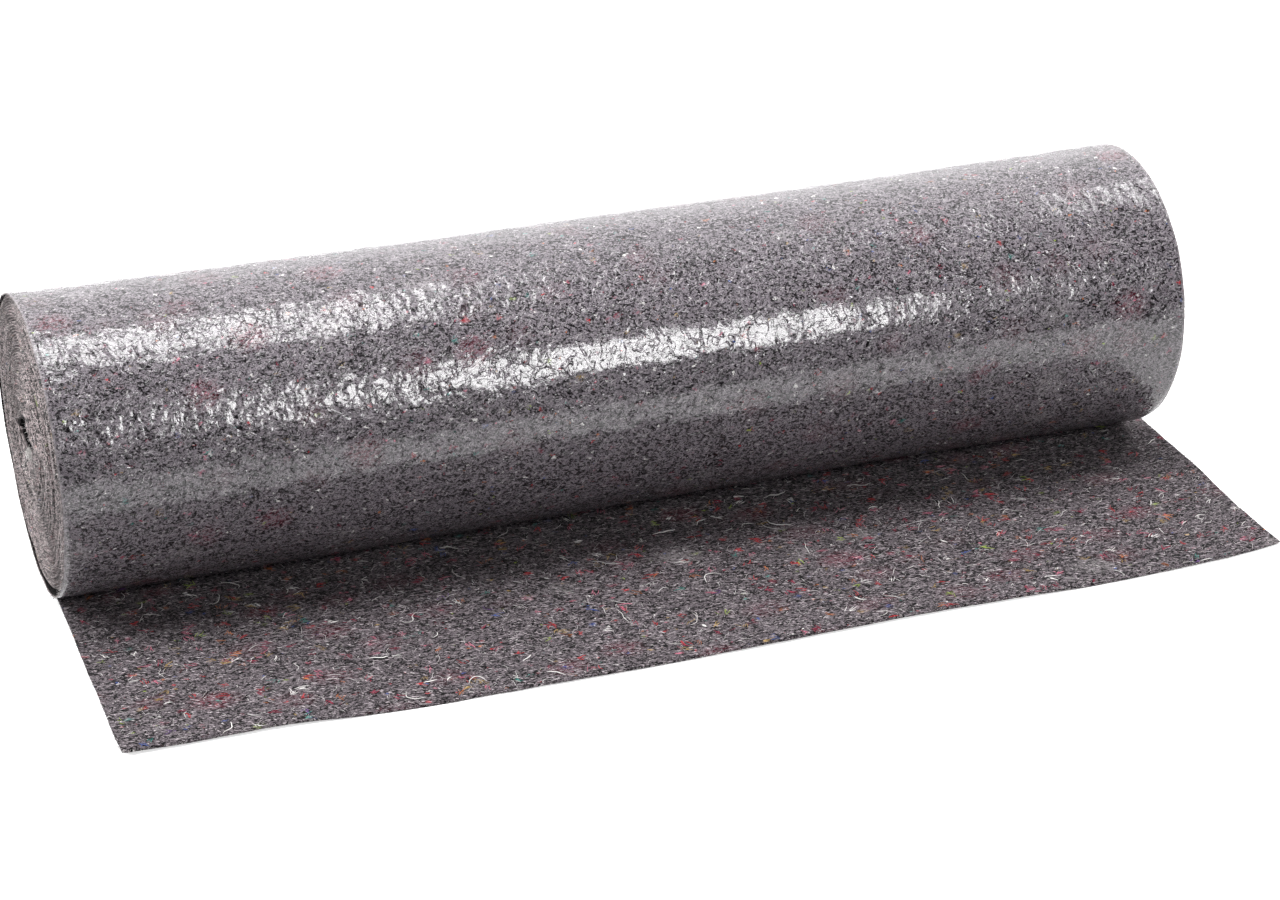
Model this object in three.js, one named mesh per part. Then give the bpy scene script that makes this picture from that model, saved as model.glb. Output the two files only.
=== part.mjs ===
// Roll of covering fleece: recycled-fibre felt, faced on one side with a thin clear film.
// The cloth is wound without a core, film side out. Its last turn lies a little slack round
// the roll, meets the floor under it and runs out to the front as a flat loose end, felt side up.
//
// Frame: millimetres, +X along the roll, -Y towards the loose end, +Z up. The origin is on
// the floor, under the roll's axis, halfway along the roll.

import * as THREE from 'three';

// ---- Driving dimensions -------------------------------------------------------------

const CLOTH = {
  width: 1000,
  thickness: 2.0, // uncompressed, film included
};

const ROLL = {
  diameter: 252, // over the outermost turn, at its top
  flatSpot: 30, // width of the underside that is pressed flat
};

const LAYER_GAP = 0.3; // air left between two layers that touch
const PITCH = CLOTH.thickness + LAYER_GAP; // radial step from one turn to the next

const OUTER_TURN = {
  startDeg: -75, // where the outermost turn parts from the wound body, behind its underside
  stepDeg: 5,
  landsDeg: 360, // straight below the axis, where it has reached the floor
};

const RUN_OUT = {
  steps: 24, // sections between the axis and the free edge
  flatUntil: 60, // the first stretch is pressed flat by the roll
};

// Angles are counted from straight down, through the front and the top.
const DEG = Math.PI / 180;
const TURN = 360;

// ---- Unevenness, a row for each section across the width ----------------------------

// across: distance from the cloth's left edge. crown: swelling of the roll's upper half.
// belly: swelling of its lower front. slack: how far the wound body stands clear of the
// outermost turn at the bottom. reach: distance of the free edge from the roll's axis.
// curl: how far that edge lifts off the floor.
const SECTIONS = [
  { across: 0, crown: 2.8, belly: -0.4, slack: 6.0, reach: 302, curl: 1.8 },
  { across: 22, crown: 1.4, belly: -0.3, slack: 4.4, reach: 302, curl: 1.2 },
  { across: 70, crown: 0.7, belly: 0.1, slack: 2.0, reach: 302, curl: 0.5 },
  { across: 130, crown: 0.3, belly: 0.7, slack: 0.4, reach: 303, curl: 0.8 },
  { across: 200, crown: -0.4, belly: 1.0, slack: 0.0, reach: 309, curl: 0.3 },
  { across: 340, crown: -1.2, belly: 0.6, slack: 0.0, reach: 313, curl: 0.2 },
  { across: 500, crown: -0.8, belly: -0.2, slack: 0.0, reach: 314, curl: 1.0 },
  { across: 660, crown: -1.2, belly: -0.7, slack: 0.0, reach: 311, curl: 1.4 },
  { across: 800, crown: -0.7, belly: -0.9, slack: 0.0, reach: 314, curl: 0.4 },
  { across: 900, crown: 0.2, belly: -0.4, slack: 0.2, reach: 312, curl: 0.2 },
  { across: 960, crown: 0.8, belly: 0.2, slack: 1.0, reach: 307, curl: 0.6 },
  { across: 1000, crown: 1.4, belly: 0.6, slack: 2.4, reach: 301, curl: 0.9 },
];

// The cloth doesn't run quite square to the roll. left, right: where its two edges lie at
// angles of the outermost turn, and at shares of the run-out's length.
const TURN_EDGES = [
  { at: -75, left: -492, right: 498 },
  { at: 0, left: -492, right: 498 },
  { at: 60, left: -494, right: 499 },
  { at: 115, left: -495, right: 501 },
  { at: 180, left: -496, right: 502 },
  { at: 270, left: -494, right: 509 },
  { at: 330, left: -487, right: 515 },
  { at: 345, left: -484, right: 517 },
  { at: 360, left: -486, right: 518 },
];
const RUN_OUT_EDGES = [
  { at: 0, left: -486, right: 518 },
  { at: 0.5, left: -491, right: 511.5 },
  { at: 0.8, left: -494, right: 504 },
  { at: 1, left: -496, right: 503.5 },
];

// The end faces lean and are a little uneven, because the turns have slipped along each
// other. share: how far out a ring lies, from the eye at 0 to the rim at 1. left, right:
// where that ring stands at the height of the axis.
const FACE_RINGS = [
  { share: 1.0, left: -493.0, right: 498.0 },
  { share: 0.88, left: -494.0, right: 499.0 },
  { share: 0.68, left: -492.5, right: 499.5 },
  { share: 0.46, left: -495.0, right: 498.5 },
  { share: 0.2, left: -495.5, right: 500.5 },
  { share: 0.0, left: -493.5, right: 498.5 },
];
const FACE_LEAN = 1.2; // how much further along X the faces stand at the rim's lowest point

// The eye: the roll has no core, so the hollow in its middle has sunk to a leaning slit.
const EYE = {
  behindAxis: 16,
  aboveAxis: 8,
  radius: 12.5,
  lobes: [
    { order: 2, depth: 0.38, atDeg: 57 },
    { order: 3, depth: 0.16, atDeg: 20 },
  ],
};

// ---- The roll's section -------------------------------------------------------------

// Radius of the middle of the outermost turn. It grows by one pitch in a full turn.
const turnRadius = (deg) =>
  ROLL.diameter / 2 - CLOTH.thickness / 2 + PITCH * ((deg - TURN / 2) / TURN);

// Heights of the middle of each layer under the roll: the floor layer, then the one on it.
const FLOOR_LAYER = CLOTH.thickness / 2;
const SECOND_LAYER = FLOOR_LAYER + PITCH;
const BODY_UNDERSIDE = 2 * PITCH;

// The axis stands so high that the second layer is pressed flat over the flat spot's width.
const AXIS_HEIGHT =
  SECOND_LAYER + Math.sqrt(turnRadius(0) ** 2 - (ROLL.flatSpot / 2) ** 2);

// Extra radius of a section at an angle.
function swelling(section, deg) {
  const upper = Math.max(0, -Math.cos(deg * DEG));
  const lowerFront = Math.max(0, Math.cos((deg - 40) * DEG));
  return section.crown * upper ** 2 + section.belly * lowerFront ** 2;
}

// Where a section lies between two edges.
function acrossTo(section, { left, right }) {
  return THREE.MathUtils.lerp(left, right, section.across / CLOTH.width);
}

// The two edges at a place between the rows of a table.
function edgesAt(rows, place) {
  const next = Math.max(1, rows.findIndex((row) => row.at >= place));
  const [from, to] = [rows[next - 1], rows[next]];
  const t = (place - from.at) / (to.at - from.at);
  return {
    left: THREE.MathUtils.lerp(from.left, to.left, t),
    right: THREE.MathUtils.lerp(from.right, to.right, t),
  };
}

// A point of a section, given its radius and the lowest height that it may have.
function roundPoint(section, deg, radius, lowest) {
  const r = radius + swelling(section, deg);
  const z = AXIS_HEIGHT - r * Math.cos(deg * DEG);
  return { y: -r * Math.sin(deg * DEG), z: Math.max(z, lowest) };
}

// ---- Solids -------------------------------------------------------------------------

// Closed solid through rings of equally many points. Joined end to end, the rings make a
// body with a hole through it. Otherwise each end ring is a folded ribbon: its second half
// runs back along its first, and the end is closed between the two halves.
function solidThrough(rings, joinedEnds) {
  const around = rings[0].length;
  const positions = rings.flat().flatMap((p) => [p.x, p.y, p.z]);
  const at = (ring, k) => (ring % rings.length) * around + (k % around);
  const index = [];
  const quad = (a, b, c, d) => index.push(a, b, c, a, c, d);

  const spans = joinedEnds ? rings.length : rings.length - 1;
  for (let ring = 0; ring < spans; ring += 1) {
    for (let k = 0; k < around; k += 1) {
      quad(at(ring, k), at(ring + 1, k), at(ring + 1, k + 1), at(ring, k + 1));
    }
  }
  if (!joinedEnds) {
    const last = rings.length - 1;
    for (let k = 0; k < around / 2 - 1; k += 1) {
      const back = around - 1 - k;
      quad(at(0, k), at(0, k + 1), at(0, back - 1), at(0, back));
      quad(at(last, k), at(last, back), at(last, back - 1), at(last, k + 1));
    }
  }

  const geometry = new THREE.BufferGeometry();
  geometry.setAttribute('position', new THREE.Float32BufferAttribute(positions, 3));
  geometry.setIndex(index);
  geometry.computeVertexNormals();
  return geometry;
}

// ---- Wound body: every turn but the outermost ---------------------------------------

// The last angle falls just short of a full turn, so the step in the rim is almost upright.
const RIM_STEP_DEG = 0.5;
const BODY_ANGLES = Array.from({ length: TURN / OUTER_TURN.stepDeg + 1 }, (_, k) =>
  Math.min(
    OUTER_TURN.startDeg + k * OUTER_TURN.stepDeg,
    OUTER_TURN.startDeg + TURN - RIM_STEP_DEG,
  ),
);

// Rim of the wound body. It is a spiral, so it has one small step where it closes.
function bodyRim(section, deg) {
  const hanging = section.slack * Math.max(0, Math.cos(deg * DEG)) ** 2;
  const radius = turnRadius(deg) - CLOTH.thickness / 2 - LAYER_GAP - hanging;
  return roundPoint(section, deg, radius, BODY_UNDERSIDE);
}

function eyeRim(deg) {
  const squeeze = EYE.lobes.reduce(
    (sum, lobe) => sum + lobe.depth * Math.cos(lobe.order * (deg - lobe.atDeg) * DEG),
    1,
  );
  const r = EYE.radius * squeeze;
  return {
    y: EYE.behindAxis - r * Math.sin(deg * DEG),
    z: AXIS_HEIGHT + EYE.aboveAxis - r * Math.cos(deg * DEG),
  };
}

// One ring of an end face, or of the skin where share is 1.
function bodyRing(section, share, x) {
  return BODY_ANGLES.map((deg) => {
    const rim = bodyRim(section, deg);
    const eye = eyeRim(deg);
    const z = THREE.MathUtils.lerp(eye.z, rim.z, share);
    return new THREE.Vector3(
      x + (FACE_LEAN * (AXIS_HEIGHT - z)) / AXIS_HEIGHT,
      THREE.MathUtils.lerp(eye.y, rim.y, share),
      z,
    );
  });
}

function woundBody() {
  const [rim, ...inner] = FACE_RINGS;
  const first = SECTIONS[0];
  const last = SECTIONS[SECTIONS.length - 1];
  const skin = SECTIONS.map((section) =>
    bodyRing(section, rim.share, acrossTo(section, rim)),
  );
  const rightFace = inner.map((ring) => bodyRing(last, ring.share, ring.right));
  const leftFace = inner.map((ring) => bodyRing(first, ring.share, ring.left));
  return solidThrough([...skin, ...rightFace, ...leftFace.reverse()], true);
}

// ---- Loose end: the outermost turn and the flat run-out -----------------------------

const TURN_STEPS = (OUTER_TURN.landsDeg - OUTER_TURN.startDeg) / OUTER_TURN.stepDeg;

// A point on one face of the outermost turn. side is 1 on the film face and -1 on the felt.
function turnPoint(section, step, side) {
  const deg = OUTER_TURN.startDeg + step * OUTER_TURN.stepDeg;
  const layer = deg < TURN / 2 ? SECOND_LAYER : FLOOR_LAYER;
  const half = (side * CLOTH.thickness) / 2;
  const { y, z } = roundPoint(section, deg, turnRadius(deg) + half, layer - half);
  return new THREE.Vector3(acrossTo(section, edgesAt(TURN_EDGES, deg)), y, z);
}

// A point on one face of the flat run-out. The film face lies on the floor.
function runOutPoint(section, step, side) {
  const share = step / RUN_OUT.steps;
  const out = share * section.reach;
  const lifting = (out - RUN_OUT.flatUntil) / (section.reach - RUN_OUT.flatUntil);
  return new THREE.Vector3(
    acrossTo(section, edgesAt(RUN_OUT_EDGES, share)),
    -out,
    FLOOR_LAYER - (side * CLOTH.thickness) / 2 + section.curl * Math.max(0, lifting) ** 3,
  );
}

function looseEnd() {
  const steps = Array.from({ length: TURN_STEPS + RUN_OUT.steps + 1 }, (_, k) => k);
  // The first section stands one gap clear of the step in the wound body's rim.
  const startClear = (LAYER_GAP / turnRadius(OUTER_TURN.startDeg) / DEG) * 2;
  const facePoint = (section, k, side) => {
    if (k > TURN_STEPS) return runOutPoint(section, k - TURN_STEPS, side);
    return turnPoint(section, k === 0 ? startClear / OUTER_TURN.stepDeg : k, side);
  };
  const rings = SECTIONS.map((section) => [
    ...steps.map((k) => facePoint(section, k, 1)),
    ...steps.toReversed().map((k) => facePoint(section, k, -1)),
  ]);
  return solidThrough(rings, false);
}

// ---- The object ---------------------------------------------------------------------

const felt = new THREE.MeshStandardMaterial({
  color: new THREE.Color(0x968c8a),
  roughness: 0.95,
  metalness: 0,
});

const filmFacedFelt = new THREE.MeshStandardMaterial({
  color: new THREE.Color(0x706c6e),
  roughness: 0.32,
  metalness: 0,
});

function piece(name, geometry, material) {
  const mesh = new THREE.Mesh(geometry, material);
  mesh.name = name;
  return mesh;
}

const fleeceRoll = new THREE.Group();
fleeceRoll.add(piece('wound_roll', woundBody(), felt));
fleeceRoll.add(piece('loose_end', looseEnd(), filmFacedFelt));

export default fleeceRoll;
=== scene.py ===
"""Dresses the roll of film-backed covering fleece: cloth, end faces, loose fibres and studio."""

import logging
import math
from dataclasses import dataclass, replace
from enum import Enum

import bmesh
import bpy
import numpy as np
from mathutils import Matrix, Quaternion, Vector, noise


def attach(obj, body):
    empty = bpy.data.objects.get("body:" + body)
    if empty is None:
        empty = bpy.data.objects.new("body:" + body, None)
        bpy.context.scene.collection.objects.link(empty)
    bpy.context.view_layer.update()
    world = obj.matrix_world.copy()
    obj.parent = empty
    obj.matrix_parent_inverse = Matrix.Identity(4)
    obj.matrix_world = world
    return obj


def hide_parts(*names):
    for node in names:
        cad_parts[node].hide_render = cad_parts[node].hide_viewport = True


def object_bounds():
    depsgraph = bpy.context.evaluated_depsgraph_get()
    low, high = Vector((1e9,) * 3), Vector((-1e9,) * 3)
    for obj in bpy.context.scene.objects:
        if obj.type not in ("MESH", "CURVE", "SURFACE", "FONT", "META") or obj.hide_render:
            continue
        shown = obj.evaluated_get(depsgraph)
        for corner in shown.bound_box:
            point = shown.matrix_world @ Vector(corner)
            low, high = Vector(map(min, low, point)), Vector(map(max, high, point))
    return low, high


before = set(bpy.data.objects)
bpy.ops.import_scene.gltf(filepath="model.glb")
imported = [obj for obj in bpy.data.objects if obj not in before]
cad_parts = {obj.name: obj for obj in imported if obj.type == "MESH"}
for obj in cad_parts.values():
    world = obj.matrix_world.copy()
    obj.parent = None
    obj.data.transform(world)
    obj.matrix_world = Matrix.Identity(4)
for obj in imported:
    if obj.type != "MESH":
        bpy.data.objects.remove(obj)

log = logging.getLogger("fleece_roll")

Colour = tuple[float, float, float, float]

MM = 0.001
CAD_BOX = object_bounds()
BODY = "root"
WOUND_NODE = "wound_roll"
CLOTH_NODE = "loose_end"


class Face(Enum):
    """The kinds of surface that the cloth shows, by material index."""

    FILM = 0
    FELT = 1
    CUT = 2
    INNER = 3
    # A near-black copy of the open felt: painted shade in the hollow, on the hidden felt side of the
    # outermost turn and on its cut edge at the back.
    HOLLOW = 4


class Hue(Enum):
    """Colours of the recycled fibres, as linear red, green and blue."""

    WHITE = (0.80, 0.78, 0.76)
    PALE = (0.46, 0.43, 0.43)
    BLACK = (0.012, 0.012, 0.014)
    RED = (0.42, 0.022, 0.030)
    CRIMSON = (0.26, 0.012, 0.045)
    ORANGE = (0.44, 0.14, 0.045)
    OCHRE = (0.36, 0.24, 0.085)
    PINK = (0.52, 0.15, 0.22)
    WINE = (0.15, 0.035, 0.055)
    TEAL = (0.050, 0.24, 0.21)
    BLUE = (0.045, 0.090, 0.30)
    VIOLET = (0.16, 0.075, 0.26)
    GREEN = (0.28, 0.38, 0.060)


# ---- The cloth's layout, the same as in the solids ---------------------------------------


@dataclass(frozen=True)
class Section:
    """Unevenness at one place across the cloth, in millimetres."""

    across: float
    crown: float
    belly: float
    slack: float
    reach: float
    curl: float


@dataclass(frozen=True)
class Edges:
    """Where the cloth's two edges lie, in millimetres, at an angle or a share of the run-out."""

    at: float
    left: float
    right: float


@dataclass(frozen=True)
class FaceRing:
    """How far out a ring of an end face lies, and where it stands at either end, in mm."""

    share: float
    left: float
    right: float


@dataclass(frozen=True)
class Lobes:
    """Waves round a hollow: how many, their depth as a share of its radius, and their turn."""

    count: int
    depth: float
    turned_deg: float

    def at(self, deg: np.ndarray) -> np.ndarray:
        """Share of the radius that the waves add at some angles."""
        return self.depth * np.cos(self.count * np.radians(deg - self.turned_deg))


SECTIONS = (
    Section(across=0, crown=2.8, belly=-0.4, slack=6.0, reach=302, curl=1.8),
    Section(across=22, crown=1.4, belly=-0.3, slack=4.4, reach=302, curl=1.2),
    Section(across=70, crown=0.7, belly=0.1, slack=2.0, reach=302, curl=0.5),
    Section(across=130, crown=0.3, belly=0.7, slack=0.4, reach=303, curl=0.8),
    Section(across=200, crown=-0.4, belly=1.0, slack=0.0, reach=309, curl=0.3),
    Section(across=340, crown=-1.2, belly=0.6, slack=0.0, reach=313, curl=0.2),
    Section(across=500, crown=-0.8, belly=-0.2, slack=0.0, reach=314, curl=1.0),
    Section(across=660, crown=-1.2, belly=-0.7, slack=0.0, reach=311, curl=1.4),
    Section(across=800, crown=-0.7, belly=-0.9, slack=0.0, reach=314, curl=0.4),
    Section(across=900, crown=0.2, belly=-0.4, slack=0.2, reach=312, curl=0.2),
    Section(across=960, crown=0.8, belly=0.2, slack=1.0, reach=307, curl=0.6),
    Section(across=1000, crown=1.4, belly=0.6, slack=2.4, reach=301, curl=0.9),
)

TURN_EDGES = (
    Edges(at=-75, left=-492, right=498),
    Edges(at=0, left=-492, right=498),
    Edges(at=60, left=-494, right=499),
    Edges(at=115, left=-495, right=501),
    Edges(at=180, left=-496, right=502),
    Edges(at=270, left=-494, right=509),
    Edges(at=330, left=-487, right=515),
    Edges(at=345, left=-484, right=517),
    Edges(at=360, left=-486, right=518),
)

RUN_OUT_EDGES = (
    Edges(at=0, left=-486, right=518),
    Edges(at=0.5, left=-491, right=511.5),
    Edges(at=0.8, left=-494, right=504),
    Edges(at=1, left=-496, right=503.5),
)

FACE_RINGS = (
    FaceRing(share=0.0, left=-493.5, right=498.5),
    FaceRing(share=0.2, left=-495.5, right=500.5),
    FaceRing(share=0.46, left=-495.0, right=498.5),
    FaceRing(share=0.68, left=-492.5, right=499.5),
    FaceRing(share=0.88, left=-494.0, right=499.0),
    FaceRing(share=1.0, left=-493.0, right=498.0),
)

EYE_LOBES = (Lobes(count=2, depth=0.38, turned_deg=57), Lobes(count=3, depth=0.16, turned_deg=20))


def through(rows: tuple, place: str, column: str, at: np.ndarray) -> np.ndarray:
    """Reads a column of a table on a smooth curve through its rows.

    Args:
        rows: the table's rows, in order of place.
        place: name of the column that orders the rows.
        column: name of the column to read.
        at: places to read it at.

    Returns:
        The column's values at those places.
    """
    knots = np.array([getattr(row, place) for row in rows], float)
    values = np.array([getattr(row, column) for row in rows], float)
    slopes = np.gradient(values, knots)
    at = np.clip(at, knots[0], knots[-1])
    i = np.clip(np.searchsorted(knots, at, side="right") - 1, 0, len(knots) - 2)
    step = knots[i + 1] - knots[i]
    t = (at - knots[i]) / step
    rest = 1 - t
    ends = rest * rest * (1 + 2 * t) * values[i] + t * t * (3 - 2 * t) * values[i + 1]
    return ends + step * t * rest * (rest * slopes[i] - t * slopes[i + 1])


def smoothstep(low: float, high: float, x: np.ndarray) -> np.ndarray:
    """Rises smoothly from 0 at low to 1 at high."""
    t = np.clip((x - low) / (high - low), 0, 1)
    return t * t * (3 - 2 * t)


def perlin(points: np.ndarray, size: float, seed: int, octaves: int = 1) -> np.ndarray:
    """Smooth noise from about -1 to 1.

    Args:
        points: places, with three coordinates in the last axis, in metres.
        size: distance from one swell to the next, in metres.
        seed: picks the noise.
        octaves: how many finer layers are added, each half as strong.

    Returns:
        One value for each place.
    """
    step_between_seeds = 17.31
    flat = points.reshape(-1, 3) / size + seed * step_between_seeds
    values = [noise.fractal(Vector(p), 1.0, 2.0, octaves) for p in flat]
    return np.array(values).reshape(points.shape[:-1])


@dataclass(frozen=True)
class Swells:
    """A layer of smooth swells: how high, how far apart, its seed and its octaves."""

    height: float
    size: float
    seed: int
    octaves: int = 1

    def over(self, points: np.ndarray) -> np.ndarray:
        """The layer's height at some places."""
        return self.height * perlin(points, self.size, self.seed, self.octaves)


@dataclass(frozen=True)
class ClothLayout:
    """Where the cloth lies: the roll's section, its unevenness and its loose end. Metres."""

    width: float = 1000 * MM
    thickness: float = 2.0 * MM
    layer_gap: float = 0.3 * MM
    diameter: float = 252 * MM
    flat_spot: float = 30 * MM
    flat_until: float = 60 * MM
    starts_deg: float = -75.0
    lands_deg: float = 360.0
    belly_deg: float = 40.0
    eye_behind: float = 16 * MM
    eye_above: float = 8 * MM
    eye_radius: float = 12.5 * MM
    face_lean: float = 1.2 * MM

    @property
    def pitch(self) -> float:
        """Radial step from one turn to the next."""
        return self.thickness + self.layer_gap

    @property
    def floor_layer(self) -> float:
        """Height of the middle of the layer that lies on the floor."""
        return self.thickness / 2

    @property
    def second_layer(self) -> float:
        """Height of the middle of the layer above the one on the floor."""
        return self.floor_layer + self.pitch

    @property
    def axis_height(self) -> float:
        """Height of the roll's axis, over the small flat on which the roll stands."""
        upright = math.sqrt(self.turn_radius(0) ** 2 - (self.flat_spot / 2) ** 2)
        return self.second_layer + upright

    def turn_radius(self, deg: np.ndarray) -> np.ndarray:
        """Radius of the middle of the outermost turn at an angle from straight down."""
        return (self.diameter - self.thickness) / 2 + self.pitch * (deg / 360 - 0.5)

    def column(self, name: str, across: np.ndarray) -> np.ndarray:
        """A column of the sections' table, in metres, at places across the cloth."""
        return through(SECTIONS, "across", name, across / MM) * MM

    def swelling(self, across: np.ndarray, deg: np.ndarray) -> np.ndarray:
        """How far the roll stands out of its round section.

        Args:
            across: places across the cloth.
            deg: angles from straight down, through the front.

        Returns:
            The extra radii.
        """
        upper = np.maximum(0, -np.cos(np.radians(deg))) ** 2
        lower_front = np.maximum(0, np.cos(np.radians(deg - self.belly_deg))) ** 2
        return self.column("crown", across) * upper + self.column("belly", across) * lower_front

    def round_point(
        self, across: np.ndarray, deg: np.ndarray, radius: np.ndarray, lowest: np.ndarray
    ) -> tuple[np.ndarray, np.ndarray]:
        """A point of the roll's section.

        Args:
            across: places across the cloth.
            deg: angles from straight down, through the front.
            radius: radii before the swelling.
            lowest: the least height that each point may have.

        Returns:
            The points' y and z.
        """
        angle = np.radians(deg)
        r = radius + self.swelling(across, deg)
        z = np.maximum(self.axis_height - r * np.cos(angle), lowest)
        return -r * np.sin(angle), z

    def edge_to_edge(self, rows: tuple, at: np.ndarray, across: np.ndarray) -> np.ndarray:
        """Places the cloth between its two edges.

        Args:
            rows: the table of the two edges.
            at: angles or shares at which the table is read.
            across: places across the cloth.

        Returns:
            The x of those places.
        """
        left = through(rows, "at", "left", at) * MM
        right = through(rows, "at", "right", at) * MM
        return left + (right - left) * across / self.width

    def outermost_turn(self, across: np.ndarray, deg: np.ndarray) -> np.ndarray:
        """Middle of the outermost turn.

        Args:
            across: places across the cloth.
            deg: angles from straight down, through the front.

        Returns:
            The points, with x, y and z in the last axis.
        """
        lowest = np.where(deg < 180, self.second_layer, self.floor_layer)
        y, z = self.round_point(across, deg, self.turn_radius(deg), lowest)
        return np.stack([self.edge_to_edge(TURN_EDGES, deg, across), y, z], -1)

    def run_out(self, across: np.ndarray, share: np.ndarray) -> np.ndarray:
        """Middle of the loose end.

        Args:
            across: places across the cloth.
            share: shares of the loose end's length, from the roll to its free edge.

        Returns:
            The points, with x, y and z in the last axis.
        """
        reach = self.column("reach", across)
        out = share * reach
        lifting = np.maximum(0, (out - self.flat_until) / (reach - self.flat_until))
        z = self.floor_layer + self.column("curl", across) * lifting**3
        return np.stack([self.edge_to_edge(RUN_OUT_EDGES, share, across), -out, z], -1)

    def body_rim(self, across: np.ndarray, deg: np.ndarray) -> tuple[np.ndarray, np.ndarray]:
        """A closed curve round the wound body, where its outermost layer ends.

        Args:
            across: places across the cloth.
            deg: angles from straight down, through the front.

        Returns:
            The curve's y and z.
        """
        hanging = self.column("slack", across) * np.maximum(0, np.cos(np.radians(deg))) ** 2
        largest = self.turn_radius(self.starts_deg + 360)
        radius = largest - self.thickness / 2 - self.layer_gap - hanging
        return self.round_point(across, deg, radius, np.full_like(radius, 2 * self.pitch))

    def eye(self, deg: np.ndarray) -> tuple[np.ndarray, np.ndarray]:
        """The collapsed hollow in the middle of the roll.

        Args:
            deg: angles from straight down, through the front.

        Returns:
            Its outline's y and z.
        """
        r = self.eye_radius * (1 + sum(lobes.at(deg) for lobes in EYE_LOBES))
        angle = np.radians(deg)
        y = self.eye_behind - r * np.sin(angle)
        return y, self.axis_height + self.eye_above - r * np.cos(angle)


# ---- Meshes ------------------------------------------------------------------------------


def new_object(name: str, data: bpy.types.ID) -> bpy.types.Object:
    """Makes an object of a mesh, light or camera and puts it in the scene.

    Args:
        name: the object's name.
        data: the mesh, light or camera.

    Returns:
        The new object.
    """
    made = bpy.data.objects.new(name, data)
    bpy.context.scene.collection.objects.link(made)
    return made


def new_piece(name: str, points: np.ndarray, faces: list) -> bpy.types.Object:
    """Makes a smooth mesh piece that rides on the object's body.

    Args:
        name: the piece's name.
        points: vertices, one row each.
        faces: arrays of faces, given by their vertices' numbers.

    Returns:
        The new object.
    """
    mesh = bpy.data.meshes.new(name)
    flat = [tuple(int(k) for k in face) for group in faces for face in group]
    mesh.from_pydata(points.reshape(-1, 3).tolist(), [], flat)
    mesh.validate()
    mesh.shade_smooth()
    piece = new_object(name, mesh)
    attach(piece, BODY)
    return piece


def quads(numbers: np.ndarray) -> np.ndarray:
    """Joins the neighbours of a grid of vertex numbers.

    Args:
        numbers: the grid.

    Returns:
        One quad a row.
    """
    a, b = numbers[:-1, :-1], numbers[1:, :-1]
    c, d = numbers[1:, 1:], numbers[:-1, 1:]
    return np.stack([a, b, c, d], -1).reshape(-1, 4)


def band(first: np.ndarray, second: np.ndarray) -> np.ndarray:
    """Quads between two closed rings of equally many vertex numbers."""
    return np.stack([first, np.roll(first, -1), np.roll(second, -1), second], -1)


def unit(vectors: np.ndarray) -> np.ndarray:
    """Vectors made one metre long."""
    return vectors / np.maximum(np.linalg.norm(vectors, axis=-1, keepdims=True), 1e-12)


def add_finishes(piece: bpy.types.Object, finishes: dict) -> None:
    """Gives a piece all the cloth's finishes, in the order of their material index."""
    for kind in Face:
        piece.data.materials.append(finishes[kind])


def store(mesh: bpy.types.Mesh, name: str, kind: str, values: np.ndarray) -> None:
    """Stores a value or vector for each vertex, for the materials to read.

    Args:
        mesh: the mesh that takes it.
        name: the attribute's name.
        kind: FLOAT or FLOAT_VECTOR.
        values: one row for each vertex.
    """
    layer = mesh.attributes.new(name, kind, "POINT")
    key = "value" if kind == "FLOAT" else "vector"
    layer.data.foreach_set(key, values.astype(np.float32).ravel())


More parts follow.
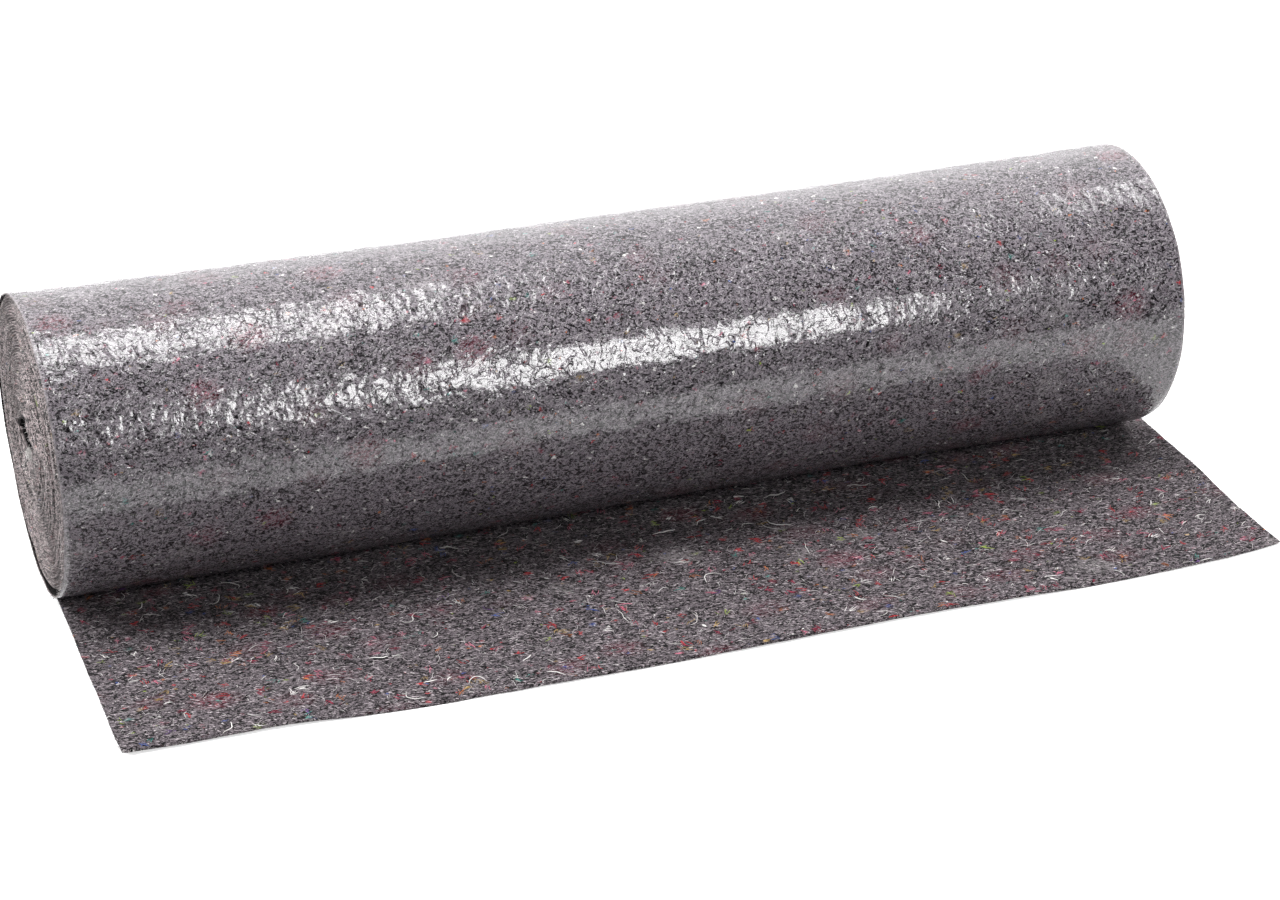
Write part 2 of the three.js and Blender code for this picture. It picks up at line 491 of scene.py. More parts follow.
@dataclass
class OuterCloth:
    """The outermost turn and the loose end: one closed sheet with a film and a felt side."""

    layout: ClothLayout
    grid: float = 5.35 * MM
    run_length: float = 310 * MM
    near_edge_mm: tuple[float, ...] = (0, 0.5, 1.2, 2.4, 3.9)
    film_dent: float = 0.55 * MM
    felt_dent: float = 0.35 * MM
    lift: float = 1.3 * MM
    fray: float = 0.6 * MM
    rounded: float = 1.1
    rounded_within: float = 5.2 * MM
    cut_bulge: float = 0.22
    cut_ragged: float = 0.1
    inset: int = 4
    # Rows before the landing whose felt side keeps the open felt, and the angle past which the rim takes
    # the near-black copy as painted shade.
    felt_shows_before: int = 6
    pale_until_deg: float = 205.0
    dented_from_deg: tuple[float, float] = (4, 22)
    dented_until_deg: tuple[float, float] = (338, 352)
    felt_dented_from: tuple[float, float] = (0.05, 0.2)
    waves_from: tuple[float, float] = (0.2, 0.5)
    wave_level: float = 0.35
    highest_wave: float = 1.2
    wavers_from: tuple[float, float] = (0.97, 1)
    name: str = "cloth_outer_turn_and_loose_end"

    FILM_SWELLS = (
        Swells(height=0.6, size=90 * MM, seed=11, octaves=2),
        Swells(height=0.4, size=26 * MM, seed=12, octaves=2),
    )
    FELT_SWELLS = (
        Swells(height=0.5, size=30 * MM, seed=13, octaves=2),
        Swells(height=0.5, size=12 * MM, seed=14),
    )
    WAVES = Swells(height=1.0, size=110 * MM, seed=3, octaves=2)
    SIDE_WANDER = Swells(height=1.0, size=35 * MM, seed=5, octaves=2)
    END_WANDER = Swells(height=1.0, size=30 * MM, seed=6, octaves=2)
    RAGGED_CUT = Swells(height=1.0, size=4 * MM, seed=21)

    def __post_init__(self) -> None:
        """Lays the cloth out on a grid of rows along it and columns across it."""
        lay = self.layout
        turn_length = math.radians(lay.lands_deg - lay.starts_deg) * lay.diameter / 2
        start_clear = math.degrees(lay.layer_gap / (lay.diameter / 2))
        self.turn_rows = round(turn_length / self.grid)
        self.run_rows = round(self.run_length / self.grid)
        self.length = turn_length + self.run_length
        inside = np.arange(self.grid, lay.width - self.grid / 2, self.grid)
        near = np.array(self.near_edge_mm) * MM
        self.across = np.concatenate([near, inside, lay.width - near[::-1]])
        self.degrees = np.linspace(lay.starts_deg + start_clear, lay.lands_deg, self.turn_rows + 1)
        self.shares = np.linspace(0, 1, self.run_rows + 1)[1:]
        self.row_degrees = np.append(self.degrees, np.full(self.run_rows, lay.lands_deg))
        turn = lay.outermost_turn(*np.meshgrid(self.across, self.degrees))
        run = lay.run_out(*np.meshgrid(self.across, self.shares))
        self.middle = self.loosened(np.concatenate([turn, run]))
        u, v = np.meshgrid(self.across, np.linspace(0, self.length, len(self.middle)))
        self.cloth = np.stack([u, v, np.zeros_like(u)], -1)
        down, right = np.gradient(self.middle, axis=(0, 1))
        self.outward = unit(np.cross(right, down))
        self.film, self.felt = self.two_sides()

    def two_sides(self) -> tuple[np.ndarray, np.ndarray]:
        """The film side, rounded off at the edges and nowhere under the floor, and the felt side.

        Returns:
            The points of either side.
        """
        half = self.layout.thickness / 2
        to_edge = np.minimum(self.across, self.layout.width - self.across)
        rounding = (1 - smoothstep(0, self.rounded_within, to_edge)) ** 2
        out = half + self.film_dents() - half * self.rounded * rounding
        film = self.middle + self.outward * out[..., None]
        film[..., 2] = np.maximum(film[..., 2], 0)
        felt = self.middle - self.outward * (half + self.felt_dents())[..., None]
        return film, felt

    def on_run_out(self, low: float, high: float) -> np.ndarray:
        """Where the cloth is loose, row by row.

        Args:
            low: share of the loose end's length up to which it is 0.
            high: share from which it is 1.

        Returns:
            A column with one value for each row, 0 on the roll.
        """
        rise = smoothstep(low, high, self.shares)
        return np.concatenate([np.zeros(self.turn_rows + 1), rise])[:, None]

    def loosened(self, middle: np.ndarray) -> np.ndarray:
        """Adds the loose end's gentle waves and makes the cut edges waver.

        Args:
            middle: the middle of the cloth as the layout gives it.

        Returns:
            The middle of the cloth as it lies.
        """
        waves = np.clip(self.wave_level + self.WAVES.over(middle), 0, self.highest_wave)
        middle[..., 2] += self.lift * self.on_run_out(*self.waves_from) * waves
        side = self.across / self.layout.width * 2 - 1
        at_sides = smoothstep(*self.wavers_from, np.abs(side))
        middle[..., 0] += self.SIDE_WANDER.over(middle) * self.fray * at_sides
        at_end = self.on_run_out(*self.wavers_from)
        middle[..., 1] += self.END_WANDER.over(middle) * self.fray * at_end
        return middle

    def film_dents(self) -> np.ndarray:
        """How far the film side stands out, where it shows.

        Returns:
            One height for each point of the grid.
        """
        rising = smoothstep(*self.dented_from_deg, self.degrees)
        turn = rising * (1 - smoothstep(*self.dented_until_deg, self.degrees))
        showing = np.concatenate([turn, np.zeros(self.run_rows)])[:, None]
        return self.film_dent * showing * sum(swells.over(self.middle) for swells in self.FILM_SWELLS)

    def felt_dents(self) -> np.ndarray:
        """How far the felt side stands up on the loose end."""
        showing = self.on_run_out(*self.felt_dented_from)
        return self.felt_dent * showing * sum(swells.over(self.middle) for swells in self.FELT_SWELLS)

    def felt_place(self, across: np.ndarray, along: np.ndarray) -> tuple[np.ndarray, np.ndarray]:
        """Points and upward directions on the felt side.

        Args:
            across: distances from the left edge.
            along: distances from where the cloth lands on the floor.

        Returns:
            The points, and the direction away from the felt at each.
        """
        column = np.interp(across, self.across, np.arange(len(self.across)))
        column = np.clip(column, 0, len(self.across) - 1 - 1e-6)
        row = self.turn_rows + along / self.grid
        row = np.clip(row, self.turn_rows, self.turn_rows + self.run_rows - 1e-6)
        c, r = column.astype(int), row.astype(int)
        s, t = (column - c)[..., None], (row - r)[..., None]

        def in_row(grid: np.ndarray, row: np.ndarray) -> np.ndarray:
            """Values of a grid between its two nearest vertices in a row."""
            return grid[row, c] * (1 - s) + grid[row, c + 1] * s

        def between(grid: np.ndarray) -> np.ndarray:
            """Values of a grid between its four nearest vertices."""
            return in_row(grid, r) * (1 - t) + in_row(grid, r + 1) * t

        return between(self.felt), unit(-between(self.outward))

    def rim(self, numbers: np.ndarray) -> np.ndarray:
        """Vertex numbers once round the sheet's edge."""
        sides = [numbers[0], numbers[1:, -1], numbers[-1, -2::-1], numbers[-2:0:-1, 0]]
        return np.concatenate(sides)

    def cut_edge(self, film: np.ndarray, film_rim: np.ndarray) -> np.ndarray:
        """Points of the slightly full cut edge, between the two sides.

        Args:
            film: grid of the film side's vertex numbers.
            film_rim: those of them that lie on its edge.

        Returns:
            One point for each place on the edge.
        """
        middle = self.middle.reshape(-1, 3)
        furthest = np.array(film.shape)[:, None, None] - 1 - self.inset
        inner = np.clip(np.indices(film.shape), self.inset, furthest)
        inward = middle[film[inner[0], inner[1]].ravel()]
        outward = unit(middle - inward)[film_rim]
        ragged = self.cut_ragged * self.RAGGED_CUT.over(middle[film_rim])
        bulge = self.layout.thickness * (self.cut_bulge + ragged)
        edge = middle[film_rim] + outward * bulge[:, None]
        edge[:, 2] = np.maximum(edge[:, 2], 0)
        return edge

    def kinds(self, film_rim: np.ndarray) -> np.ndarray:
        """The material index of each face, in the order in which build makes them.

        Args:
            film_rim: vertex numbers round the film side's edge.

        Returns:
            The indexes.
        """
        rows = film_rim // self.middle.shape[1]
        # Painted shade: past pale_until_deg, at the back, the cut edge of the outermost turn takes the
        # near-black felt copy.
        in_front = (rows < self.turn_rows) & (self.row_degrees[rows] < self.pale_until_deg)
        rim_kind = np.where(in_front, Face.CUT.value, Face.HOLLOW.value)
        rim_kind = np.where(rows < self.turn_rows, rim_kind, Face.FELT.value)
        cells = tuple(count - 1 for count in self.middle.shape[:2])
        films = np.full(cells, Face.FILM.value)
        felts = np.full(cells, Face.FELT.value)
        # Painted shade: the felt side of the outermost turn, where it lies against the body, takes the
        # near-black felt copy too.
        felts[: self.turn_rows - self.felt_shows_before] = Face.HOLLOW.value
        return np.concatenate([films.ravel(), felts.ravel(), rim_kind, rim_kind]).astype(np.int32)

    def build(self) -> bpy.types.Object:
        """Makes the sheet, closed round its rim.

        Returns:
            The new piece.
        """
        count = self.middle[..., 0].size
        film = np.arange(count).reshape(self.middle.shape[:2])
        felt = film + count
        film_rim, felt_rim = self.rim(film), self.rim(felt)
        cut = 2 * count + np.arange(len(film_rim))
        edge = self.cut_edge(film, film_rim)
        points = np.concatenate([self.film.reshape(-1, 3), self.felt.reshape(-1, 3), edge])
        faces = [quads(film), quads(felt)[:, ::-1], band(film_rim, cut), band(cut, felt_rim)]
        piece = new_piece(self.name, points, faces)
        piece.data.polygons.foreach_set("material_index", self.kinds(film_rim))
        flat, through_cloth = self.cloth.reshape(-1, 3), np.array([0, 0, self.layout.thickness / 2])
        sides = [flat + through_cloth, flat - through_cloth, flat[film_rim]]
        store(piece.data, "cloth", "FLOAT_VECTOR", np.concatenate(sides))
        return piece

    def dress(self, piece: bpy.types.Object, finishes: dict) -> None:
        """Gives the sheet its finishes and hides the solid of the loose end.

        Args:
            piece: the sheet.
            finishes: a material for each kind of face.
        """
        add_finishes(piece, finishes)
        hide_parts(CLOTH_NODE)


@dataclass(frozen=True)
class AlongStrip:
    """Unevenness along the wound cloth: its level, its changes, how many a turn, and its seed."""

    level: float
    changes: float
    per_turn: float
    seed: int


@dataclass(frozen=True)
class SideBySide:
    """Unevenness that is alike for turns that lie side by side: its size and its seed."""

    size: float
    seed: int


@dataclass
class WoundBody:
    """All the turns under the outermost one, as they show at both ends of the roll."""

    layout: ClothLayout
    turns: int = 54
    spokes: int = 144
    groove: float = 3.4 * MM
    shoulder: float = 0.75 * MM
    slip: float = 1.6 * MM
    tuck: float = 3.5 * MM
    gap_behind: float = 6.0 * MM
    gap_depth: float = 70 * MM
    leaves_deg: tuple[float, float] = (258, 316)
    meets_deg: tuple[float, float] = (340, 358)
    sway: float = 1.5 * MM
    slump: float = 11 * MM
    sinking: float = 0.5
    mouth_behind: float = 22 * MM
    mouth_above: float = 2.5 * MM
    mouth_length: float = 47 * MM
    mouth_height: float = 27 * MM
    mouth_depth: float = 60 * MM
    mouth_blunt: float = 0.3
    skin_inset: float = 3 * MM
    slips_from_turn: tuple[float, float] = (0, 1.5)
    tucked_until_turn: tuple[float, float] = (0.8, 3.2)
    group_radius: float = 1.5
    group_turns: float = 2.3
    grain_drawn_out: float = 0.75
    strip_step: float = 7.3 * MM
    end_step: float = 0.4
    loose_from: tuple[float, float] = (0.0, 0.75)
    tight_from: tuple[float, float] = (-0.9, 0.5)
    # Strength of the end faces' painted shade: at the rim, in loose groups, on the shoulders and in the
    # grooves.
    dark_rim_turns: float = 0.3
    loose_shade: float = 0.35
    shoulder_shade: float = 0.4
    groove_shade: tuple[float, float] = (0.35, 0.65)
    name: str = "wound_turns"

    POINTS_PER_TURN = 4
    CREST = 0.5
    SWAY_WAVES = (2, 3, 4, 6, 9)
    SWAY_TURNED = 1.9
    SWAY_TWIST = 5
    MOUTH_FRAY = Swells(height=2.2 * MM, size=0.3, seed=39, octaves=3)
    GROOVES = AlongStrip(level=0.75, changes=0.5, per_turn=9, seed=31)
    SHOULDERS = AlongStrip(level=1, changes=0.6, per_turn=17, seed=33)
    SLIP_GROUPS = SideBySide(size=1.5, seed=35)
    SLIP_STEPS = AlongStrip(level=0, changes=0.45, per_turn=3, seed=35)
    SLIP_RIPPLES = AlongStrip(level=0, changes=0.3, per_turn=14, seed=37)
    LOOSE_GROUPS = SideBySide(size=1, seed=44)
    TIGHTNESS = AlongStrip(level=0, changes=1, per_turn=5, seed=46)

    def __post_init__(self) -> None:
        """Numbers the spiral's grid: a column for each spoke, and rows going inward."""
        spoke = np.arange(self.spokes + 1) / self.spokes
        row = np.arange((self.turns - 1) * self.POINTS_PER_TURN + 1) / self.POINTS_PER_TURN
        self.turn = row[:, None] + 1 - spoke[None, :]
        self.deg = np.broadcast_to(self.layout.starts_deg + 360 * spoke, self.turn.shape)
        self.within = np.broadcast_to((row % 1)[:, None], self.turn.shape)
        self.layer = np.floor(row)[:, None] + 1 - spoke[None, :]

    def along(self, strip: AlongStrip, end: int) -> np.ndarray:
        """Random values that change smoothly along the wound cloth.

        Args:
            strip: what they are like.
            end: added to the seed, so that the two ends differ.

        Returns:
            One value for each point of the spiral's grid.
        """
        random = np.random.default_rng(strip.seed + end)
        knots = np.arange(-2, self.turns + 3, 1 / strip.per_turn)
        changes = np.interp(self.layer, knots, random.uniform(-1, 1, len(knots)))
        return strip.level + strip.changes * changes

    def grouped(self, groups: SideBySide, end: int) -> np.ndarray:
        """Smooth random values that are alike for a few turns side by side.

        Args:
            groups: what they are like.
            end: added to the seed, so that the two ends differ.

        Returns:
            One value for each point of the spiral's grid.
        """
        angle, r = np.radians(self.deg), self.group_radius
        place = np.stack([r * np.cos(angle), r * np.sin(angle), self.layer / self.group_turns], -1)
        return groups.size * perlin(place, 1.0, groups.seed + end)

    def section(self, across: float, turn: np.ndarray, deg: np.ndarray) -> np.ndarray:
        """y and z of the wound cloth.

        Args:
            across: place across the cloth.
            turn: how many turns in from the outer end.
            deg: angles from straight down, through the front.

        Returns:
            The two coordinates, in the last axis.
        """
        share = 1 - turn / self.turns
        rim = np.stack(self.layout.body_rim(np.full(deg.shape, across), deg), -1)
        inside = smoothstep(0, self.mouth_depth, np.array(across))
        eye = self.mouth(deg) * (1 - inside) + np.stack(self.layout.eye(deg), -1) * inside
        near_end = 1 - smoothstep(0, self.gap_depth, np.array(across))
        rim = rim - unit(rim - eye) * (self.behind(deg) * self.gap_behind * near_end)[..., None]
        angle = np.radians(deg)
        turned, twist = angle + self.SWAY_TURNED, self.SWAY_TWIST * share
        swing = sum(np.cos(waves * turned + twist) / waves for waves in self.SWAY_WAVES)
        sway = self.sway * np.sin(np.pi * share) * swing
        slump = self.slump * np.sin(np.pi * share) ** 2
        sunk = np.stack([-slump, -self.sinking * slump], -1)
        return eye + (rim - eye) * share[..., None] + unit(rim - eye) * sway[..., None] + sunk

    def mouth(self, deg: np.ndarray) -> np.ndarray:
        """The hollow's ragged mouth in the left end, shaped like a leaf.

        Args:
            deg: angles from straight down, through the front.

        Returns:
            Its outline's y and z, in the last axis.
        """
        angle = np.radians(deg)
        circle = np.stack([np.cos(angle), np.sin(angle), np.zeros_like(angle)], -1)
        fray = self.MOUTH_FRAY.over(circle)
        rise = np.cos(angle) * np.abs(np.cos(angle)) ** self.mouth_blunt
        y = self.mouth_behind - (self.mouth_length / 2 + fray) * np.sin(angle)
        z = self.layout.axis_height + self.mouth_above - (self.mouth_height / 2 + fray) * rise
        return np.stack([y, z], -1)

    def behind(self, deg: np.ndarray) -> np.ndarray:
        """1 where the outermost turn stands off at the back of the roll's left end, 0 in front."""
        deg = deg % 360
        return smoothstep(*self.leaves_deg, deg) * (1 - smoothstep(*self.meets_deg, deg))

    def end_face(self, left: bool) -> np.ndarray:
        """Points of one end face, with a groove between the turns.

        Args:
            left: whether it is the left one.

        Returns:
            The points, on the spiral's grid.
        """
        end = -1 if left else 1
        across = 0.0 if left else self.layout.width
        yz = self.section(across, self.turn, self.deg)
        x = through(FACE_RINGS, "share", "left" if left else "right", 1 - self.turn / self.turns)
        x = x * MM + self.layout.face_lean * (1 - yz[..., 1] / self.layout.axis_height)
        groove = self.groove * self.along(self.GROOVES, end)
        shoulder = self.shoulder * self.along(self.SHOULDERS, end)
        depth = np.select([self.within == 0, self.within == self.CREST], [groove, 0], shoulder)
        slip = self.grouped(self.SLIP_GROUPS, end) + self.along(self.SLIP_STEPS, end)
        slip = slip + self.along(self.SLIP_RIPPLES, 0)
        x = x + end * (self.slip * slip * smoothstep(*self.slips_from_turn, self.turn) - depth)
        if left:
            near_rim = 1 - smoothstep(*self.tucked_until_turn, self.turn)
            x = x + self.tuck * self.behind(self.deg) * near_rim
        return np.concatenate([x[..., None], yz], -1)

    def face_cloth(self, end: int) -> np.ndarray:
        """Place on the wound cloth of each point of an end face, drawn out along each turn.

        Args:
            end: 0 for the left end and 1 for the right.

        Returns:
            The places, with three coordinates in the last axis.
        """
        angle = np.radians(self.deg)
        radius = self.layout.diameter / 2 * (1 - self.layer / self.turns) * self.grain_drawn_out
        across = self.layout.thickness * self.within + self.strip_step * self.layer
        across = across + self.end_step * end
        return np.stack([radius * np.cos(angle), radius * np.sin(angle), across], -1)

    def face_shade(self, end: int) -> np.ndarray:
        """How much painted shade darkens the fibres of an end face: in the grooves between turns, in loose
        groups and along the rim.

        Args:
            end: 0 for the left end and 1 for the right.

        Returns:
            Shades from 0 to 1.
        """
        loose = smoothstep(*self.loose_from, self.grouped(self.LOOSE_GROUPS, end))
        tight = smoothstep(*self.tight_from, self.along(self.TIGHTNESS, end))
        least, more = self.groove_shade
        places = [self.within == 0, self.within == self.CREST]
        between = np.select(places, [least + more * tight, 0], self.shoulder_shade * tight)
        # Painted shade: the rim's first fraction of a turn is fully darkened, for the gap under the
        # outermost turn.
        between = np.where(self.turn < self.dark_rim_turns, 1.0, between)
        return np.clip(between + self.loose_shade * loose, 0, 1)

    def outer_ring(self, numbers: np.ndarray) -> np.ndarray:
        """Vertex numbers round the body's rim and down the step where the cloth leaves it."""
        return np.concatenate([numbers[0], numbers[1 : self.POINTS_PER_TURN, -1]])

    def inner_ring(self, numbers: np.ndarray) -> np.ndarray:
        """Vertex numbers round the eye and down the step at the cloth's inner end."""
        return np.concatenate([numbers[-1], numbers[-self.POINTS_PER_TURN : -1, 0]])

    def tunnel(self, ends: list, made: int) -> tuple[list, list]:
        """A tube of faces from one end of the roll to the other.

        Args:
            ends: the ring of vertex numbers at either end.
            made: how many vertices there are before the tube's own.

        Returns:
            The tube's own points, and its bands of faces.
        """
        source = ends[0]
        points, rings = [], [ends[0]]
        for across in [section.across * MM for section in SECTIONS[1:-1]]:
            yz = self.section(across, self.turn.ravel()[source], self.deg.ravel()[source])
            x = np.full(len(source), -self.layout.width / 2 + self.skin_inset + across)
            points.append(np.concatenate([x[:, None], yz], -1))
            rings.append(made + np.arange(len(source)))
            made += len(source)
        rings.append(ends[1])
        return points, [band(a, b) for a, b in zip(rings[:-1], rings[1:])]

    def build(self) -> bpy.types.Object:
        """Makes the body: skin, both end faces and the hollow through the middle.

        Returns:
            The new piece.
        """
        count = self.turn.size
        grids = [np.arange(count).reshape(self.turn.shape) + k * count for k in (0, 1)]
        points = [self.end_face(left).reshape(-1, 3) for left in (True, False)]
        ends = [quads(grids[0]), quads(grids[1])[:, ::-1]]
        skin_points, skin = self.tunnel([self.outer_ring(grid) for grid in grids], 2 * count)
        made = 2 * count + sum(len(ring) for ring in skin_points)
        hollow_points, hollow = self.tunnel([self.inner_ring(grid) for grid in grids], made)
        points = np.concatenate(points + skin_points + hollow_points)
        piece = new_piece(self.name, points, ends + skin + hollow)

        cloth, shade = np.zeros((len(points), 3)), np.zeros(len(points))
        cloth[: 2 * count] = np.concatenate([self.face_cloth(e).reshape(-1, 3) for e in (0, 1)])
        # Painted shade for the end faces, which the cut felt reads to darken its colour.
        shade[: 2 * count] = np.concatenate([self.face_shade(e).ravel() for e in (0, 1)])
        store(piece.data, "cloth", "FLOAT_VECTOR", cloth)
        store(piece.data, "shade", "FLOAT", shade)
        kinds = ((ends, Face.CUT), (skin, Face.INNER), (hollow, Face.HOLLOW))
        index = [np.full(sum(map(len, bands)), kind.value, np.int32) for bands, kind in kinds]
        piece.data.polygons.foreach_set("material_index", np.concatenate(index))
        self.close(piece.data)
        return piece

    def close(self, mesh: bpy.types.Mesh) -> None:
        """Joins the places where one turn of the grid runs on into the next.

        Args:
            mesh: the body's mesh, which is changed.
        """
        bm = bmesh.new()
        bm.from_mesh(mesh)
        bmesh.ops.remove_doubles(bm, verts=bm.verts, dist=1e-6)
        bmesh.ops.dissolve_degenerate(bm, dist=1e-6, edges=bm.edges)
        bmesh.ops.recalc_face_normals(bm, faces=bm.faces)
        open_edges = sum(1 for edge in bm.edges if len(edge.link_faces) != 2)
        log.info("%s: %d open edges", self.name, open_edges)
        bm.to_mesh(mesh)
        bm.free()

    def dress(self, piece: bpy.types.Object, finishes: dict) -> None:
        """Gives the body its finishes."""
        add_finishes(piece, finishes)
        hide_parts(WOUND_NODE)


# ---- Loose fibres ------------------------------------------------------------------------


def fibre_piece(
    name: str,
    paths: np.ndarray,
    up: np.ndarray,
    radii: np.ndarray,
    colours: np.ndarray,
) -> bpy.types.Object:
    """Makes many fibres as one mesh of thin closed tubes with tapered ends.

    Args:
        name: the piece's name.
        paths: points of each fibre, as fibre, point, coordinate.
        up: a direction across each fibre at each point.
        radii: one radius for each fibre.
        colours: one colour for each fibre.

    Returns:
        The new object, with the colours in the attribute "fibre_colour".
    """
    sides, tip = 3, 0.12
    fibres, steps = paths.shape[:2]
    tangent = unit(np.gradient(paths, axis=1))
    across = unit(np.cross(tangent, up))
    lift = np.cross(across, tangent)
    taper = np.sin(np.linspace(tip, np.pi - tip, steps)) ** 0.5
    size = radii[:, None] * taper[None, :]
    turn = np.arange(sides) * 2 * np.pi / sides
    ring = across[:, :, None] * np.cos(turn)[:, None] + lift[:, :, None] * np.sin(turn)[:, None]
    points = paths[:, :, None] + ring * size[:, :, None, None]
    number = np.arange(fibres * steps * sides).reshape(fibres, steps, sides)
    a, b = number[:, :-1], number[:, 1:]
    tube = np.stack([a, b, np.roll(b, -1, 2), np.roll(a, -1, 2)], -1).reshape(-1, 4)
    caps = np.concatenate([number[:, 0], number[:, -1, ::-1]])
    piece = new_piece(name, points, [tube[:, ::-1], caps])
    layer = piece.data.color_attributes.new("fibre_colour", "FLOAT_COLOR", "POINT")
    shown = np.repeat(np.append(colours, np.ones((fibres, 1)), 1), steps * sides, 0)
    layer.data.foreach_set("color", shown.astype(np.float32).ravel())
    return piece


@dataclass(frozen=True)
class FibreKind:
    """A kind of fibre that lies on the felt: how many tufts, how long, how thick, its colours."""

    tufts: int
    steps: int
    length: tuple[float, float]
    radius: tuple[float, float]
    curl: float
    rise: float
    hues: tuple[tuple[Hue, float], ...]
    in_a_tuft: int = 1
    spread: float = 0.0


class FeltFibres(Enum):
    """The kinds of fibre on the loose end."""

    YARNS = FibreKind(
        tufts=70,
        steps=18,
        length=(5 * MM, 28 * MM),
        radius=(0.24 * MM, 0.50 * MM),
        curl=430.0,
        rise=0.8 * MM,
        hues=((Hue.WHITE, 1.0), (Hue.PALE, 0.3), (Hue.BLACK, 0.45)),
        spread=0.9 * MM,
    )
    THREADS = FibreKind(
        tufts=1000,
        steps=10,
        length=(3 * MM, 16 * MM),
        radius=(0.10 * MM, 0.24 * MM),
        curl=420.0,
        rise=0.5 * MM,
        hues=((Hue.WHITE, 0.4), (Hue.PALE, 0.9), (Hue.BLACK, 0.9)),
    )
    FLECKS = FibreKind(
        tufts=520,
        steps=8,
        length=(2 * MM, 9 * MM),
        radius=(0.14 * MM, 0.34 * MM),
        curl=260.0,
        rise=0.15 * MM,
        hues=(
            (Hue.RED, 1.0),
            (Hue.CRIMSON, 1.0),
            (Hue.ORANGE, 0.5),
            (Hue.OCHRE, 0.5),
            (Hue.PINK, 0.8),
            (Hue.TEAL, 0.22),
            (Hue.BLUE, 0.12),
            (Hue.VIOLET, 0.12),
            (Hue.GREEN, 0.2),
            (Hue.WHITE, 0.6),
            (Hue.BLACK, 0.9),
        ),
        in_a_tuft=5,
        spread=1.6 * MM,
    )
    LINT = FibreKind(
        tufts=4600,
        steps=6,
        length=(1.2 * MM, 5 * MM),
        radius=(0.10 * MM, 0.19 * MM),
        curl=420.0,
        rise=0.5 * MM,
        hues=((Hue.WHITE, 0.45), (Hue.PALE, 0.9), (Hue.BLACK, 0.9)),
    )


LIGHTER_OR_DARKER = (0.65, 1.15)


def pick_hues(hues: tuple, count: int, random: np.random.Generator) -> np.ndarray:
    """Draws colours by weight, each a little lighter or darker.

    Args:
        hues: pairs of a hue and its weight.
        count: how many to draw.
        random: where the draws come from.

    Returns:
        One colour a row.
    """
    weights = np.array([weight for _, weight in hues])
    chosen = random.choice(len(hues), count, p=weights / weights.sum())
    palette = np.array([hue.value for hue, _ in hues])
    return palette[chosen] * random.uniform(*LIGHTER_OR_DARKER, (count, 1))


@dataclass
class LooseFibres:
    """Fibres that lie on the felt side of the loose end."""

    cloth: OuterCloth
    kind: FeltFibres
    seed: int
    side_margin: float = 4 * MM
    first: float = 30 * MM
    last: float = 308 * MM
    end_margin: float = 1 * MM
    heading_spread: float = 0.35
    arching: tuple[float, float] = (0.1, 1)

    def build(self) -> bpy.types.Object:
        """Scatters the tufts and lets each fibre wander over the felt.

        Returns:
            The new piece.
        """
        kind, random = self.kind.value, np.random.default_rng(self.seed)
        count, steps = kind.tufts * kind.in_a_tuft, kind.steps
        tuft = np.repeat(np.arange(kind.tufts), kind.in_a_tuft)
        far_side = self.cloth.layout.width - self.side_margin
        across = random.uniform(self.side_margin, far_side, kind.tufts)[tuft]
        along = random.uniform(self.first, self.last, kind.tufts)[tuft]
        heading = random.uniform(0, 2 * np.pi, kind.tufts)[tuft]
        heading = heading + random.normal(0, self.heading_spread, count)
        across = across + random.normal(0, 1, count) * kind.spread
        along = along + random.normal(0, 1, count) * kind.spread
        length = random.uniform(*kind.length, count)
        step = length / (steps - 1)

        bend = random.normal(0, 1, (count, steps)) * kind.curl
        bend = 0.5 * (bend + np.roll(bend, 1, 1))
        angle = heading[:, None] + np.cumsum(bend * step[:, None] * 0.5, 1)
        u = across[:, None] + np.cumsum(np.cos(angle), 1) * step[:, None]
        v = along[:, None] + np.cumsum(np.sin(angle), 1) * step[:, None]
        limit = self.cloth.run_rows * self.cloth.grid - self.end_margin
        points, up = self.cloth.felt_place(u, np.minimum(v, limit))
        arch = np.sin(np.linspace(0, np.pi, steps)) * random.uniform(*self.arching, (count, 1))
        radius = random.uniform(*kind.radius, count)
        height = radius[:, None] * 0.5 + kind.rise * arch
        colours = pick_hues(kind.hues, kind.tufts, random)[tuft]
        name = f"felt_{self.kind.name.lower()}"
        return fibre_piece(name, points + up * height[..., None], up, radius, colours)


